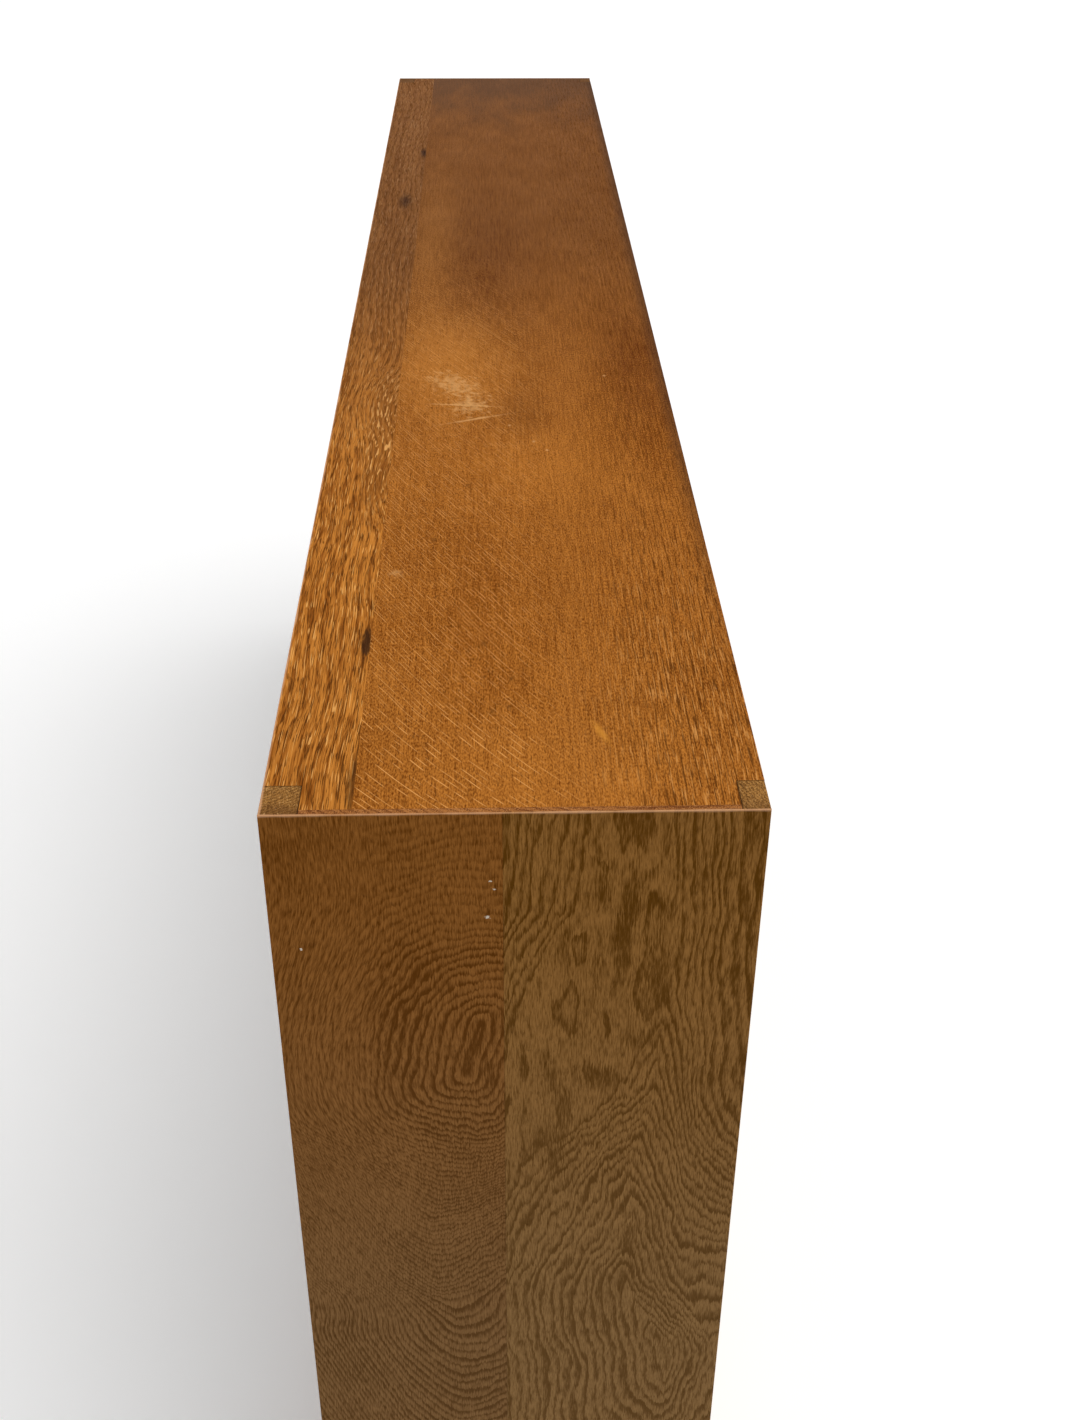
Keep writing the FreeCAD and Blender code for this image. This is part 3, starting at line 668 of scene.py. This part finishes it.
def ray_strokes(from_end, from_front):
    """Fine broken strokes that slant towards the front, steeper, bolder and sparser by the near end."""
    gap, length, half_width, bolder = 2.8, 14, 0.42, 0.25
    extra_slant, slant_reach = 40, 85
    lean = from_end * 0.5 + extra_slant * (1 - (from_end / -slant_reach).math("EXPONENT"))
    lane = (from_front + lean + noise(from_end / 90, from_front / 90) * 5) / gap
    row = lane.math("FLOOR")
    chance = row.through("ShaderNodeCombineXYZ", 0.0, 0.0).through("ShaderNodeTexWhiteNoise")
    off = abs(lane - row - 0.25 - chance * 0.5) * gap
    broken = noise(from_end / length + chance * 40, row * 3.7, 0.0, 1.0).rise(-0.06, 0.1)
    near = from_end.rise(130, 50)
    every_other = 1 - (row / 2).math("FRACT") * 2 * near
    reach = from_front.rise(200, 130) * from_end.rise(1250, 600) * (0.8 + from_end.rise(200, 40) * 0.2)
    return off.rise(half_width + near * bolder, 0.0) * broken * every_other * reach * (0.5 + chance * 0.5)


def back_lines(from_end, from_front):
    """1 along the straight growth lines at the back of the leaf."""
    spacing = 4.4
    wander = noise(from_end / 380, from_front / 40, 3.0) * 16
    tremble = noise(from_end / 40, from_front / 9) * 4
    row = (from_front + wander + tremble) / spacing
    return abs(row.math("FRACT") - 0.5).rise(0.3, 0.02)


def old_specks(colour, flat, ragged):
    """The leaf's colour with a stain, dark specks and one pale fleck."""
    stain = spot(flat, (565, 155), (80, 36), ragged=ragged)
    colour = blend(stain * 0.25, colour, shade(96, 54, 18))
    for middle, length in SPECKS:
        speck = spot(flat, middle, (length, length * 0.5), ragged=ragged * 0.8)
        colour = blend(speck * 0.5, colour, shade(84, 46, 14))
    fleck = spot(flat, (79, 191), (19, 4), -20, ragged * 0.8)
    return blend(fleck * 0.7, colour, shade(216, 144, 54))


def rubbed_wax(flat, ragged):
    """1 where the wax is rubbed off in scratches, scuffs, a dried drip and small nicks."""
    scratches = sum(spot(flat, middle, size, turn, ragged) for middle, size, turn in SCRATCHES)
    scuffs = sum(spot(flat, middle, size, turn, ragged * 3) for middle, size, turn in SCUFFS)
    drip = spot(flat, (278, 63), (8, 6), ragged=ragged * 1.8)
    nicks = sum(spot(flat, middle, (3, 2)) for middle in NICKS)
    return scratches + scuffs * 0.8 + drip * 0.6 + nicks


def top_leaf(name):
    """Quarter-cut oak, speckled all over, with strokes by the rail and lines of pores at the back."""
    material, place = blank_finish(name)
    flat, from_end, from_front = top_place(place)
    cloud = noise(from_end / 90, from_front / 35, 1.0, 4.0)
    streak = noise(from_end / 40, from_front / 2.0, 2.0, 3.0)
    speckle = noise(from_end / 2.6, from_front / 0.9, 4.0, 2.0)
    at_back = from_front.rise(150, 245) * (1 - from_end.rise(150, 500) * 0.3)
    lined = back_lines(from_end, from_front) * 0.12
    dashes = (noise(from_end / 20, from_front / 0.8, 8.0, 1.0) + lined).rise(0.1, 0.16) * at_back
    pores = noise(from_end / 8, from_front / 0.8, 5.0, 2.0).rise(0.1, 0.2) * (1 - at_back * 0.5)
    pores = pores.most(dashes)
    glints = noise(from_end / 22, from_front / 0.9, 9.0, 1.0).rise(0.06, 0.16) * at_back
    rays = ray_strokes(from_end, from_front)

    # Darker and paler patches; one of the paler ones is painted sheen.
    shading = weighted_spots(flat, SHADED) - weighted_spots(flat, PALE_PATCHES_AND_SHEEN)
    tone = (speckle * 2.2 + streak * 0.9 + cloud * 0.35 + shading + 0.5).rise(-0.2, 1.2)
    colour = blend(tone, shade(198, 125, 50), shade(106, 50, 4))
    colour = blend(glints * from_end.rise(480, 100) * 0.65, colour, shade(222, 156, 84))
    # Painted shade: the leaf darkens towards the far end.
    colour = blend(from_end.rise(400, 1120), colour, shade(196, 200, 228), "MULTIPLY")
    # Painted shade, grey-brown, over the last stretch of the far end.
    shaded_far_end = (from_end + cloud * 500).rise(1450, 1850)
    colour = blend(shaded_far_end * 0.6, colour, shade(84, 60, 43))
    colour = blend(pores * 0.75, colour, shade(84, 44, 10))
    colour = blend(rays * (1 - from_end.rise(700, 1100) * 0.7), colour, shade(238, 170, 96))
    # Painted shade along the back edge of the top, where its rounded arris turns away from the light.
    shaded_back_edge = from_front.rise(266, 281) * from_end.rise(60, 500)
    colour = blend(shaded_back_edge * 0.6, colour, shade(64, 42, 28))

    ragged = noise(from_end / 6, from_front / 6, 6.0, 4.0)
    colour = old_specks(colour, flat, ragged)
    rubbed = rubbed_wax(flat, ragged)
    colour = blend(rubbed.least(1.0) * 0.55, colour, shade(232, 178, 114))
    colour = worn_corners(colour, place)
    roughness = 0.5 + pores * 0.18 + cloud * 0.15 + rubbed * 0.1
    relief = pores * -0.06 + speckle * -0.03 + rays * 0.012 + rubbed * -0.02
    return polish(material, colour, roughness, relief)


fit("top_veneer", eased("top_veneer"), "oak_veneer", top_leaf("top_leaf"))


# Bottom
# A cored board housed in the ends, with a solid oak rail along its front and a plywood tongue between.
# The rail is grooved for the lower door tracks.

bottom_oak = oak("bottom_oak", along=0, tone=BOARD_OAK, heart=(60, -180), seed=8, worn=False)
bottom_rail_oak = oak("bottom_rail_oak", along=0, heart=(-240, -90), seed=9)
fit("bottom_panel", eased("bottom_panel"), "oak_board", bottom_oak)
fit("bottom_front_rail", eased("bottom_front_rail"), "oak_solid", bottom_rail_oak)
finish_node("bottom_spline", tongue_plywood)


# Partition
# An upright cored board between the two bays, housed in the top and the bottom.
# A solid oak lipping covers its front edge.

partition_oak = oak("partition_oak", along=2, tone=BOARD_OAK, heart=(-220, 30), seed=10, worn=False)
partition_lipping_oak = oak("partition_lipping_oak", along=2, heart=(160, -290), seed=11)
fit("partition_panel", eased("partition_panel"), "oak_board", partition_oak)
fit("partition_lipping", eased("partition_lipping"), "oak_solid", partition_lipping_oak)


# Plinth
# An oak board set back under the front, with a softwood board at the back, a bearer in the middle
# and softwood blocks glued in the corners.

SOFTWOOD = dict(
    pale=shade(208, 166, 106), dark=shade(176, 122, 62), fleck=shade(214, 176, 120), pore=shade(160, 112, 60)
)
plinth_oak = oak("plinth_oak", along=0, heart=(-330, 20), seed=12)
softwood = dict(tone=SOFTWOOD, ring=4.5, worn=False)
softwood_along = oak("softwood_along", along=0, heart=(190, -40), seed=13, **softwood)
softwood_deep = oak("softwood_deep", along=1, heart=(60, -120), seed=14, **softwood)
softwood_up = oak("softwood_up", along=2, heart=(0, 0), seed=15, **softwood)
fit("front_plinth", eased("front_plinth"), "oak_solid", plinth_oak)
fit("back_plinth", eased("back_plinth"), "softwood", softwood_along)
fit("centre_bearer", eased("centre_bearer"), "softwood", softwood_deep)
fit("glue_blocks", eased("glue_blocks"), "softwood", softwood_up)


# Back panels
# A plywood sheet behind each bay, laid in a rebate and left unpolished on the outside.
# It is held by slotted countersunk screws round its edge.

back_plywood = oak("back_plywood", along=2, tone=PLYWOOD, heart=(0, -420), ring=7.0, seed=16, worn=False)
for bay in BAYS:
    fit(f"{bay}_back_panel", eased(f"{bay}_back_panel", arris=0.3 * MM), "back_plywood", back_plywood)


def add_node(tree, kind, settings=None, **inputs):
    """A new node of a tree, with its settings, and its inputs by name: plain values or sockets to link."""
    made = tree.nodes.new(kind)
    for setting, value in (settings or {}).items():
        setattr(made, setting, value)
    for label, value in inputs.items():
        socket = made.inputs[label.replace("_", " ")]
        if isinstance(value, bpy.types.NodeSocket):
            tree.links.new(value, socket)
        else:
            socket.default_value = value
    return made


def turned_pin(tree, sizes, steps):
    """Turns one pin: a disc drawn out and scaled step by step, and capped at its start."""
    sides, same_point = 32, 0.001 * MM
    first = sizes["first radius"]
    disc = add_node(tree, "GeometryNodeMeshCircle", {"fill_type": "NGON"}, Vertices=sides, Radius=first)
    cap = add_node(tree, "GeometryNodeFlipFaces", Mesh=disc.outputs[0])
    shell, end, radius = disc.outputs[0], None, first
    for step, _, _ in steps:
        length, next_radius = sizes[f"{step} length"], sizes[f"{step} radius"]
        drawn = add_node(tree, "GeometryNodeExtrudeMesh", Mesh=shell, Offset_Scale=length, Individual=False)
        if end:
            tree.links.new(end, drawn.inputs["Selection"])
        shell, end = drawn.outputs["Mesh"], drawn.outputs["Top"]
        ratio = add_node(tree, "ShaderNodeMath", {"operation": "DIVIDE"})
        tree.links.new(next_radius, ratio.inputs[0])
        tree.links.new(radius, ratio.inputs[1])
        sized = add_node(
            tree, "GeometryNodeScaleElements", Geometry=shell, Selection=end, Scale=ratio.outputs[0]
        )
        shell, radius = sized.outputs[0], next_radius
    joined = add_node(tree, "GeometryNodeJoinGeometry")
    tree.links.new(cap.outputs[0], joined.inputs[0])
    tree.links.new(shell, joined.inputs[0])
    merged = add_node(tree, "GeometryNodeMergeByDistance", Geometry=joined.outputs[0], Distance=same_point)
    return merged.outputs[0]


def slotted(tree, pin, sizes):
    """Cuts a slot right across the start of a pin, as deep as it is wide."""
    wide = sizes["slot size"]
    extent = add_node(tree, "ShaderNodeCombineXYZ", X=sizes["first radius"], Y=wide, Z=wide)
    past_both_sides, half_above = 4, 2
    cutter_size = add_node(tree, "ShaderNodeVectorMath", {"operation": "MULTIPLY"})
    tree.links.new(extent.outputs[0], cutter_size.inputs[0])
    cutter_size.inputs[1].default_value = (past_both_sides, 1, half_above)
    cutter = add_node(tree, "GeometryNodeMeshCube", Size=cutter_size.outputs[0])
    cut = add_node(tree, "GeometryNodeMeshBoolean", {"operation": "DIFFERENCE"})
    tree.links.new(pin, cut.inputs["Mesh 1"])
    tree.links.new(cutter.outputs["Mesh"], cut.inputs["Mesh 2"])
    return cut.outputs["Mesh"]


def set_on_points(tree, pin, sockets):
    """Sets a pin on each point, aimed along its facing and spun by chance, and gives all their metal."""
    seed, half_turn = 3, math.pi
    facing = add_node(tree, "GeometryNodeInputNamedAttribute", {"data_type": "FLOAT_VECTOR"}, Name="facing")
    aimed = add_node(tree, "FunctionNodeAlignRotationToVector", {"axis": "Z"}, Vector=facing.outputs[0])
    chance = add_node(tree, "FunctionNodeRandomValue", {"data_type": "FLOAT"}, Seed=seed)
    chance.inputs[3].default_value = half_turn
    spin = add_node(tree, "FunctionNodeAxisAngleToRotation", Axis=(0, 0, 1), Angle=chance.outputs[1])
    turn = add_node(tree, "FunctionNodeRotateRotation", {"rotation_space": "LOCAL"})
    tree.links.new(aimed.outputs[0], turn.inputs[0])
    tree.links.new(spin.outputs[0], turn.inputs[1])
    placed = add_node(tree, "GeometryNodeInstanceOnPoints", Points=sockets["Points"], Instance=pin)
    tree.links.new(turn.outputs[0], placed.inputs["Rotation"])
    real = add_node(tree, "GeometryNodeRealizeInstances", Geometry=placed.outputs[0])
    coated = add_node(tree, "GeometryNodeSetMaterial", Geometry=real.outputs[0], Material=sockets["Metal"])
    tree.links.new(coated.outputs[0], tree.nodes.new("NodeGroupOutput").inputs["Pins"])


def turned_pins(name, points, first_radius, steps, material, slot_size=None):
    """A mesh of like pins, each turned from its tip or head along the facing of its point.

    steps are the named lengths and radii of the turning, in order; slot_size cuts a slot across its start.
    """
    sizes = {"first radius": first_radius}
    for step, length, radius in steps:
        sizes[f"{step} length"] = length
        sizes[f"{step} radius"] = radius
    if slot_size:
        sizes["slot size"] = slot_size

    tree = bpy.data.node_groups.new(name, "GeometryNodeTree")
    tree.interface.new_socket("Points", in_out="INPUT", socket_type="NodeSocketGeometry")
    tree.interface.new_socket("Pins", in_out="OUTPUT", socket_type="NodeSocketGeometry")
    values = {}
    for size, value in sizes.items():
        size_input = tree.interface.new_socket(size, in_out="INPUT", socket_type="NodeSocketFloat")
        size_input.default_value = value
        values[size_input.identifier] = value
    metal_input = tree.interface.new_socket("Metal", in_out="INPUT", socket_type="NodeSocketMaterial")
    values[metal_input.identifier] = material
    sockets = tree.nodes.new("NodeGroupInput").outputs
    pin = turned_pin(tree, sockets, steps)
    if slot_size:
        pin = slotted(tree, pin, sockets)
    set_on_points(tree, pin, sockets)

    cloud = bpy.data.meshes.new(name)
    cloud.from_pydata([place for place, _ in points], [], [])
    directions = cloud.attributes.new("facing", "FLOAT_VECTOR", "POINT")
    for entry, (_, direction) in zip(directions.data, points):
        entry.vector = direction
    blank = bpy.data.objects.new(name, cloud)
    bpy.context.scene.collection.objects.link(blank)
    maker = blank.modifiers.new(name, "NODES")
    maker.node_group = tree
    for identifier, value in values.items():
        maker[identifier] = value
    graph = bpy.context.evaluated_depsgraph_get()
    mesh = bpy.data.meshes.new_from_object(blank.evaluated_get(graph))
    bpy.data.objects.remove(blank)
    mesh.shade_smooth()
    sharpest_curve = math.radians(35)
    mesh.set_sharp_from_angle(angle=sharpest_curve)
    return mesh


def metal(name, bright, dull, roughness):
    """Plain metal with fine turning marks and a dull bloom in patches."""
    material, (x, y, z) = blank_finish(name)
    bloom = noise(x / 2, y / 2, z / 2, 4.0).rise(-0.1, 0.25)
    marks = noise(x / 0.1, y / 0.8, z / 0.8, 1.0)
    colour = blend(bloom, bright, dull)
    polish(material, colour, roughness + bloom * 0.25 + marks * 0.1, marks * 0.01)
    material.node_tree.nodes["Principled BSDF"].inputs["Metallic"].default_value = 1.0
    return material


SCREW_HEAD, SCREW_SHANK, SCREW_LENGTH, SCREW_SLOT = 3.5 * MM, 1.75 * MM, 19 * MM, 0.8 * MM
SCREW_CORNER, SCREWS_UP, SCREWS_ALONG = 25 * MM, 5, 4
HEAD_EDGE = 0.15 * MM
screw_steel = metal("screw_steel", shade(176, 172, 164), shade(112, 104, 92), 0.35)


def screw_points(node):
    """Screw heads round the edge of a back panel, each facing into the case."""
    low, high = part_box(node)
    left, right, foot, head = (
        low.x + SCREW_HEAD, high.x - SCREW_HEAD, low.z + SCREW_HEAD, high.z - SCREW_HEAD
    )
    rise = (head - foot - 2 * SCREW_CORNER) / (SCREWS_UP - 1)
    places = [(x, foot + SCREW_CORNER + step * rise) for x in (left, right) for step in range(SCREWS_UP)]
    for step in range(1, SCREWS_ALONG):
        x = left + (right - left) * step / SCREWS_ALONG
        places += [(x, foot), (x, head)]
    return [((x, high.y, z), (0, -1, 0)) for x, z in places]


for bay in BAYS:
    node = f"{bay}_back_screws"
    taper = SCREW_HEAD - SCREW_SHANK
    steps = [
        ("edge", HEAD_EDGE, SCREW_HEAD - HEAD_EDGE),
        ("countersink", taper - HEAD_EDGE, SCREW_SHANK),
        ("shank", SCREW_LENGTH - 2 * SCREW_SHANK - taper, SCREW_SHANK),
        ("point", 2 * SCREW_SHANK, 0.1 * SCREW_SHANK),
    ]
    heads = turned_pins(node, screw_points(node), SCREW_HEAD - 2 * HEAD_EDGE, steps, screw_steel, SCREW_SLOT)
    fit(node, heads, "screw_steel", screw_steel)


# Door tracks
# Dark vulcanised fibre channels, each with two grooves, pressed into the top and bottom rails.
# The upper ones are deeper, so that a door can be lifted in and dropped.


def fibre(name):
    """Dark pressed fibre, speckled, and rubbed paler in streaks along the track."""
    material, (x, y, z) = blank_finish(name)
    speckle = noise(x / 1.5, y / 0.8, z / 0.8, 4.0)
    rubbed = noise(x / 60, y / 1.2, z / 4, 3.0).rise(0.0, 0.25)
    colour = blend(speckle.rise(-0.2, 0.25), shade(58, 40, 30), shade(84, 58, 42))
    colour = blend(rubbed * 0.5, colour, shade(112, 84, 62))
    return polish(material, colour, 0.5 + speckle * 0.3, speckle * 0.03)


track_fibre = fibre("track_fibre")
for bay in BAYS:
    for level in ("top", "bottom"):
        node = f"{bay}_{level}_track"
        fit(node, eased(node, arris=0.25 * MM), "track_fibre", track_fibre)


# Sliding doors
# Panes of plate glass with ground edges, two to a bay, one behind the other.
# Each has a finger pull hollowed out of its face by a round wheel.


def glass(name, tint, roughness, mottle):
    """Glass that lets lamps shine through, with faint wiping marks or a ground surface."""
    material, (x, y, z) = blank_finish(name)
    smear = noise(x / 90, y / 90, z / 40, 3.0).rise(0.0, 0.3)
    polish(material, tint, roughness + smear * mottle, smear * 0.002, shine=0.2)
    tree = material.node_tree
    shader = tree.nodes["Principled BSDF"]
    shader.inputs["Transmission Weight"].default_value = 1.0
    shader.inputs["IOR"].default_value = 1.52
    passing = tree.nodes.new("ShaderNodeBsdfTransparent")
    passing.inputs["Color"].default_value = tint
    either = tree.nodes.new("ShaderNodeMixShader")
    tree.links.new(tree.nodes.new("ShaderNodeLightPath").outputs["Is Shadow Ray"], either.inputs[0])
    tree.links.new(shader.outputs[0], either.inputs[1])
    tree.links.new(passing.outputs[0], either.inputs[2])
    tree.links.new(either.outputs[0], tree.nodes["Material Output"].inputs["Surface"])
    return material


plate = glass("plate_glass", shade(249, 254, 251), 0.0, 0.01)
ground_edge = glass("ground_glass", shade(196, 232, 214), 0.22, 0.1)
EDGE_BAND, SQUARE_ON = 1.5 * MM, 0.999
for bay in BAYS:
    for row in ("front", "rear"):
        node = f"{bay}_{row}_door"
        shell = whole_faces(node)
        pane = bpy.data.meshes.new(node)
        shell.to_mesh(pane)
        shell.free()
        low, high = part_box(node)
        fit(node, pane, "plate_glass", plate, ground_edge)
        for face in pane.polygons:
            x, _, z = face.center
            rim = min(x - low.x, high.x - x, z - low.z, high.z - z)
            hollow = abs(face.normal.y) < SQUARE_ON and rim > EDGE_BAND
            face.use_smooth = hollow
            face.material_index = int(hollow or rim < EDGE_BAND)


# Shelves and their studs
# Two loose boards in each bay, lipped in front with solid oak.
# Each rests on four turned brass studs, pushed into rows of holes in the uprights.

shelf_oak = oak("shelf_oak", along=0, tone=BOARD_OAK, heart=(20, 240), seed=17, worn=False)
shelf_lipping_oak = oak("shelf_lipping_oak", along=0, heart=(-330, 300), seed=18, worn=False)
stud_brass = metal("stud_brass", shade(214, 176, 96), shade(150, 112, 54), 0.25)

PIN, PIN_LENGTH, PIN_ROUND = 3.6 * MM, 9 * MM, 1 * MM
COLLAR, COLLAR_WIDTH, COLLAR_EDGE = 4.8 * MM, 1.2 * MM, 0.2 * MM
SHANK, SHANK_LENGTH = 3.1 * MM, 8 * MM
STUD_LENGTH = PIN_LENGTH + COLLAR_WIDTH + SHANK_LENGTH
STUD_STEPS = [
    ("tip", 0.3 * PIN_ROUND, PIN - 0.5 * PIN_ROUND),
    ("shoulder", 0.7 * PIN_ROUND, PIN),
    ("pin", PIN_LENGTH - PIN_ROUND, PIN),
    ("collar face", 0.0, COLLAR - COLLAR_EDGE),
    ("collar edge", COLLAR_EDGE, COLLAR),
    ("collar", COLLAR_WIDTH - 2 * COLLAR_EDGE, COLLAR),
    ("collar back edge", COLLAR_EDGE, COLLAR - COLLAR_EDGE),
    ("collar back", 0.0, SHANK),
    ("shank", SHANK_LENGTH, SHANK),
]


def stud_points(node):
    """Tips of the four studs under a shelf, each facing the upright that it is pushed into."""
    low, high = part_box(node)
    z = (low.z + high.z) / 2
    points = []
    for y in (low.y + COLLAR, high.y - COLLAR):
        points.append(((low.x + STUD_LENGTH, y, z), (-1, 0, 0)))
        points.append(((high.x - STUD_LENGTH, y, z), (1, 0, 0)))
    return points


for bay in BAYS:
    for level in ("lower", "upper"):
        shelf = f"{bay}_{level}_shelf"
        fit(shelf, eased(shelf), "oak_board", shelf_oak)
        fit(f"{shelf}_lipping", eased(f"{shelf}_lipping", arris=1.2 * MM), "oak_solid", shelf_lipping_oak)
        node = f"{bay}_{level}_studs"
        studs = turned_pins(node, stud_points(node), PIN - PIN_ROUND, STUD_STEPS, stud_brass)
        fit(node, studs, "stud_brass", stud_brass)


# Floor, light and camera
# A pale floor that shows white but keeps the shadow, a broad softbox overhead, a weaker one in front and
# even light all round. The camera stands above the right end, where the photograph was taken.


def seen(tree):
    """1 for rays that look at the background, straight, in a reflection or through glass."""
    path = tree.nodes.new("ShaderNodeLightPath")
    looks = [Figure(path.outputs[f"Is {ray} Ray"]) for ray in ("Camera", "Glossy", "Transmission")]
    return looks[0].most(looks[1]).most(looks[2])


floor_mesh = bpy.data.meshes.new("floor")
FLOOR_REACH = 30
floor_mesh.from_pydata(
    [(-FLOOR_REACH, -FLOOR_REACH, 0), (FLOOR_REACH, -FLOOR_REACH, 0),
     (FLOOR_REACH, FLOOR_REACH, 0), (-FLOOR_REACH, FLOOR_REACH, 0)],
    [], [(0, 1, 2, 3)],
)
floor = bpy.data.objects.new("floor", floor_mesh)
bpy.context.scene.collection.objects.link(floor)
floor_paint = bpy.data.materials.new("floor_paint")
floor_paint.use_nodes = True
floor_mesh.materials.append(floor_paint)
tree = floor_paint.node_tree
tree.nodes.remove(tree.nodes["Principled BSDF"])
PALE, SEEN_PALE, GLOW = 0.45, 0.92, 0.2
matt = tree.nodes.new("ShaderNodeBsdfDiffuse")
matt.inputs["Color"].default_value = (PALE, PALE, PALE, 1)
shadowed = tree.nodes.new("ShaderNodeBsdfDiffuse")
shadowed.inputs["Color"].default_value = (SEEN_PALE, SEEN_PALE, SEEN_PALE, 1)
glow = tree.nodes.new("ShaderNodeEmission")
glow.inputs["Strength"].default_value = GLOW
lit = tree.nodes.new("ShaderNodeAddShader")
tree.links.new(shadowed.outputs[0], lit.inputs[0])
tree.links.new(glow.outputs[0], lit.inputs[1])
either = tree.nodes.new("ShaderNodeMixShader")
feed(either.inputs[0], seen(tree))
tree.links.new(matt.outputs[0], either.inputs[1])
tree.links.new(lit.outputs[0], either.inputs[2])
tree.links.new(either.outputs[0], tree.nodes["Material Output"].inputs["Surface"])

world = bpy.data.worlds.new("studio")
bpy.context.scene.world = world
world.use_nodes = True
sky = world.node_tree.nodes["Background"]
sky.inputs["Color"].default_value = (1, 1, 1, 1)
SKY = 0.25
feed(sky.inputs["Strength"], seen(world.node_tree) * (1 - SKY) + SKY)


def soft_sun(name, direction, strength, spread, mirrored=True):
    """A distant lamp as broad as a softbox, shining along a direction; mirrored lets glass show it."""
    lamp = bpy.data.lights.new(name, "SUN")
    lamp.energy = strength
    lamp.angle = math.radians(spread)
    stand = bpy.data.objects.new(name, lamp)
    stand.rotation_euler = Vector(direction).to_track_quat("-Z", "Y").to_euler()
    stand.visible_glossy = stand.visible_transmission = mirrored
    bpy.context.scene.collection.objects.link(stand)


soft_sun("softbox_above", direction=(-0.06, -0.4, -0.91), strength=2.36, spread=64)
soft_sun("softbox_in_front", direction=(0, 1, 0), strength=1.2, spread=24, mirrored=False)

PHOTO_HEIGHT, FOCAL_PIXELS, SENSOR_HEIGHT = 1420, 1651.6, 36
STANDPOINT = Vector((1.6401, -0.0108, 1.4467))
YAW, PITCH, ROLL = (math.radians(angle) for angle in (-1.677, 32.688, 0.283))
ahead = Vector((-math.cos(PITCH) * math.cos(YAW), -math.cos(PITCH) * math.sin(YAW), -math.sin(PITCH)))
level_right = ahead.cross(Vector((0, 0, 1))).normalized()
level_up = level_right.cross(ahead)
right = math.cos(ROLL) * level_right + math.sin(ROLL) * level_up
up = math.cos(ROLL) * level_up - math.sin(ROLL) * level_right

lens = bpy.data.cameras.new("camera")
lens.sensor_fit = "VERTICAL"
lens.sensor_height = SENSOR_HEIGHT
lens.lens = FOCAL_PIXELS / PHOTO_HEIGHT * SENSOR_HEIGHT
camera = bpy.data.objects.new("camera", lens)
turned = Matrix((right, up, -ahead)).transposed().to_4x4()
camera.matrix_world = Matrix.Translation(STANDPOINT) @ turned
bpy.context.scene.collection.objects.link(camera)
bpy.context.scene.camera = camera
bpy.context.scene.view_settings.view_transform = "Standard"
